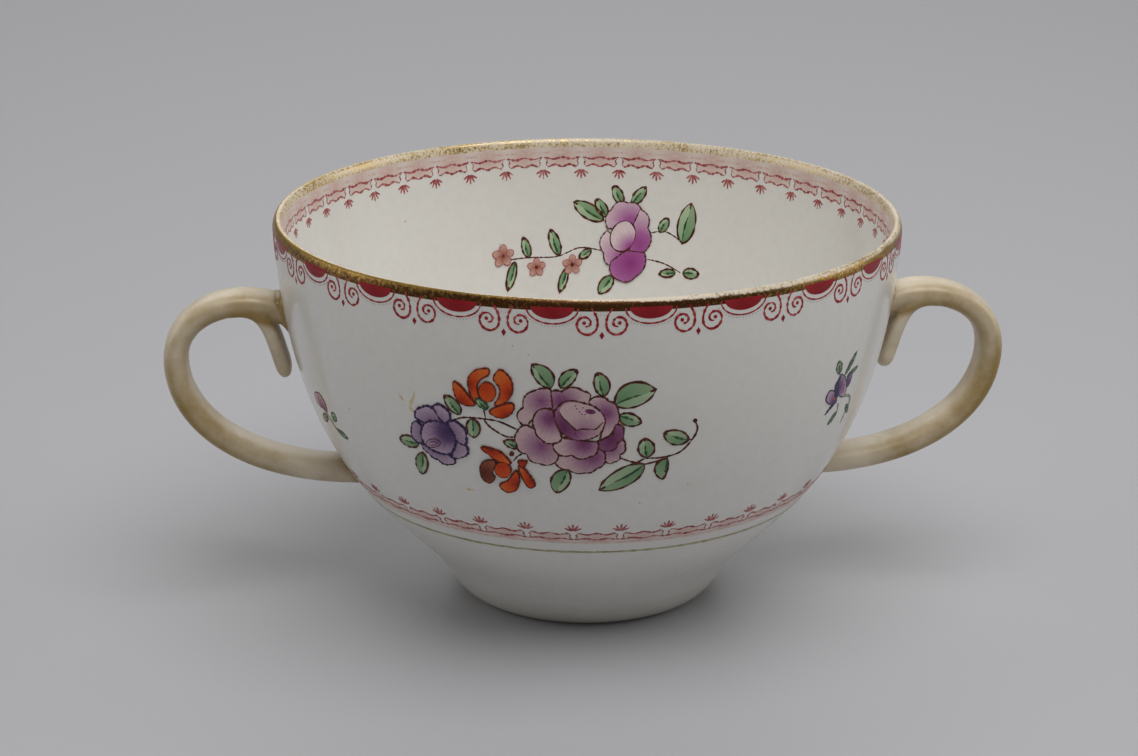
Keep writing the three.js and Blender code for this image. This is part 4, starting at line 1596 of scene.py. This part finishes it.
class CUP_OT_joints(bpy.types.Operator):
    """Slip fillets where the straps meet the wall"""

    bl_idname = "cup.joints"
    bl_label = "Handle joints"

    def execute(self, context):
        handle, wall = context.scene.cup_handles, Wall(context.scene.cup_sizes)
        shoulder, belly = handle_knots(handle, wall)
        ends = (
            ("upper", shoulder[0], shoulder[1], handle.thickness_top, handle.width_top),
            ("lower", belly[3], belly[2], handle.thickness_low, handle.width_low),
        )
        for end, root, towards, thickness, width in ends:
            out = (towards - root).normalized()
            right = self.fillet(f"right_{end}_fillet", wall, root, out, thickness, width, handle.fillet)
            left = half_turned_copy(right, f"left_{end}_fillet")
            finish(context, right, "handle", "glaze", f"right_{end}_slip")
            finish(context, left, "handle", "glaze", f"left_{end}_slip")
        return {"FINISHED"}

    def fillet(self, name, wall, root, out, thickness, width, size):
        """A closed ring with a hollow face, from the wall up onto the strap."""
        along, across = Vector((out.x, 0, out.y)), Vector((-out.y, 0, out.x))
        sideways = Vector((0, 1, 0))
        middle = Vector((root.x, 0, root.y))
        ring = FILLET_STEPS + 2
        points, faces = [], []
        for turn in round_turns(FILLET_SIDES):
            x, y = rounded(turn, FILLET_SQUARENESS)
            edge = across * x * thickness / 2 + sideways * y * width / 2
            away = (across * math.cos(turn) + sideways * math.sin(turn)).normalized()
            start = self.to_wall(wall, middle + edge, along)
            foot = self.onto_wall(wall, start + away * size, -FILLET_SEAT)
            head = start + along * size - away * FILLET_TUCK
            hollow = start + (along + away) * FILLET_TUCK
            points += bezier_line((foot, hollow, head), FILLET_STEPS)
            points.append(self.onto_wall(wall, start - away * FILLET_BACK, -FILLET_DEPTH))
        for i in range(FILLET_SIDES):
            here, there = i * ring, (i + 1) % FILLET_SIDES * ring
            for j in range(ring):
                following = (j + 1) % ring
                faces.append((here + j, there + j, there + following, here + following))
        piece = mesh_piece(name, points, faces)
        select_only(piece)
        edit_all()
        close_smooth(sharp_degrees=50)
        # The fillets take the joints' ochre, partly painted shade where strap and wall meet.
        add_layer(piece, "gilding", [GILDING["joint_and_shade"]] * len(points))
        return piece

    def to_wall(self, wall, place, along):
        """Moves a place along the strap until it lies on the wall."""
        low, high = -WALL_SEARCH, WALL_SEARCH
        for _ in range(WALL_HALVINGS):
            middle = (low + high) / 2
            p = place + along * middle
            if math.hypot(p.x, p.y) < wall.radius_at(p.z):
                low = middle
            else:
                high = middle
        return place + along * low

    def onto_wall(self, wall, place, lift):
        """Moves a place square to the axis onto the wall."""
        share = (wall.radius_at(place.z) + lift) / math.hypot(place.x, place.y)
        return Vector((place.x * share, place.y * share, place.z))


INSIDE_WASH_END = -4.8  # how far from its fans the wash of the border inside reaches, in millimetres


class CUP_OT_rim_border(bpy.types.Operator):
    """Scroll border under the lip outside, and hanging fans under it inside"""

    bl_idname = "cup.rim_border"
    bl_label = "Rim border"

    def execute(self, context):
        sizes, paint = context.scene.cup_sizes, context.scene.cup_paint
        outer, inner = Wall(sizes), Wall(sizes, inside=True)
        scrolls = (paint.rim_start, paint.rim_height, paint_scroll_border, paint.rim_repeats)
        painted(context, "rim_border_outside", outer, *scrolls, seed=3)
        fans = (paint.inside_start, paint.inside_height, paint_fan_border, paint.inside_repeats)
        painted(context, "rim_border_inside", inner, *fans, INSIDE_WASH_END, seed=4, upright=-1)
        return {"FINISHED"}


class CUP_OT_lower_border(bpy.types.Operator):
    """Fan and cartouche border with a thin band below it"""

    bl_idname = "cup.lower_border"
    bl_label = "Lower border"

    def execute(self, context):
        wall, paint = Wall(context.scene.cup_sizes), context.scene.cup_paint
        border = (paint.low_start, paint.low_height, paint_lower_border, paint.low_repeats, paint.band_height)
        painted(context, "lower_border", wall, *border, seed=5)
        return {"FINISHED"}


class CUP_OT_sprays(bpy.types.Operator):
    """Flower sprays on the front, the back, the sides and inside"""

    bl_idname = "cup.sprays"
    bl_label = "Flower sprays"

    def execute(self, context):
        sizes, paint = context.scene.cup_sizes, context.scene.cup_paint
        outer, inner = Wall(sizes), Wall(sizes, inside=True)
        spray, trail = (paint_spray, paint.spray_height), (paint_inside_spray, paint.trail_height)
        violet, rose = (paint_violet_sprig, paint.violet_height), (paint_rose_sprig, paint.rose_height)
        sprays = (
            ("front_spray", outer, spray, paint.spray_turn, 7),
            ("back_spray", outer, spray, paint.spray_turn + math.pi, 8),
            ("right_front_sprig", outer, violet, paint.violet_turn, 17),
            ("left_front_sprig", outer, rose, paint.rose_turn, 16),
            ("left_back_sprig", outer, violet, paint.violet_turn - math.pi, 15),
            ("right_back_sprig", outer, rose, paint.rose_turn + math.pi, 16),
            ("inside_spray", inner, trail, paint.trail_turn, 9),
        )
        for name, wall, (design, height), turn, seed in sprays:
            painted(context, name, wall, turn, height, design, seed=seed)
        return {"FINISHED"}


class CUP_PT_panel(bpy.types.Panel):
    """Lists the steps that build the cup"""

    bl_idname = "CUP_PT_panel"
    bl_label = "Two-handled cup"
    bl_space_type = "VIEW_3D"
    bl_region_type = "UI"
    bl_category = "Cup"

    def draw(self, context):
        for operator in OPERATORS:
            self.layout.operator(operator.bl_idname)
        for group in PROPERTIES:
            box = self.layout.box()
            settings = getattr(context.scene, group)
            for name in settings.bl_rna.properties.keys():
                if name not in ("rna_type", "name"):
                    box.prop(settings, name)


OPERATORS = (
    CUP_OT_stage,
    CUP_OT_bowl,
    CUP_OT_foot,
    CUP_OT_lip,
    CUP_OT_handles,
    CUP_OT_joints,
    CUP_OT_rim_border,
    CUP_OT_lower_border,
    CUP_OT_sprays,
)
PROPERTIES = {
    "cup_sizes": CupSizes,
    "cup_handles": HandleSizes,
    "cup_paint": PaintSizes,
    "cup_colours": CupColours,
    "cup_stage": StageSettings,
}


def register():
    for made in (*PROPERTIES.values(), *OPERATORS, CUP_PT_panel):
        bpy.utils.register_class(made)
    for name, group in PROPERTIES.items():
        setattr(bpy.types.Scene, name, PointerProperty(type=group))


def unregister():
    for name in PROPERTIES:
        delattr(bpy.types.Scene, name)
    for made in reversed((*PROPERTIES.values(), *OPERATORS, CUP_PT_panel)):
        bpy.utils.unregister_class(made)


def main():
    register()
    bpy.ops.cup.stage()
    bpy.ops.cup.bowl()
    bpy.ops.cup.foot()
    bpy.ops.cup.lip()
    bpy.ops.cup.handles()
    bpy.ops.cup.joints()
    bpy.ops.cup.rim_border()
    bpy.ops.cup.lower_border()
    bpy.ops.cup.sprays()


if __name__ == "__main__":
    main()
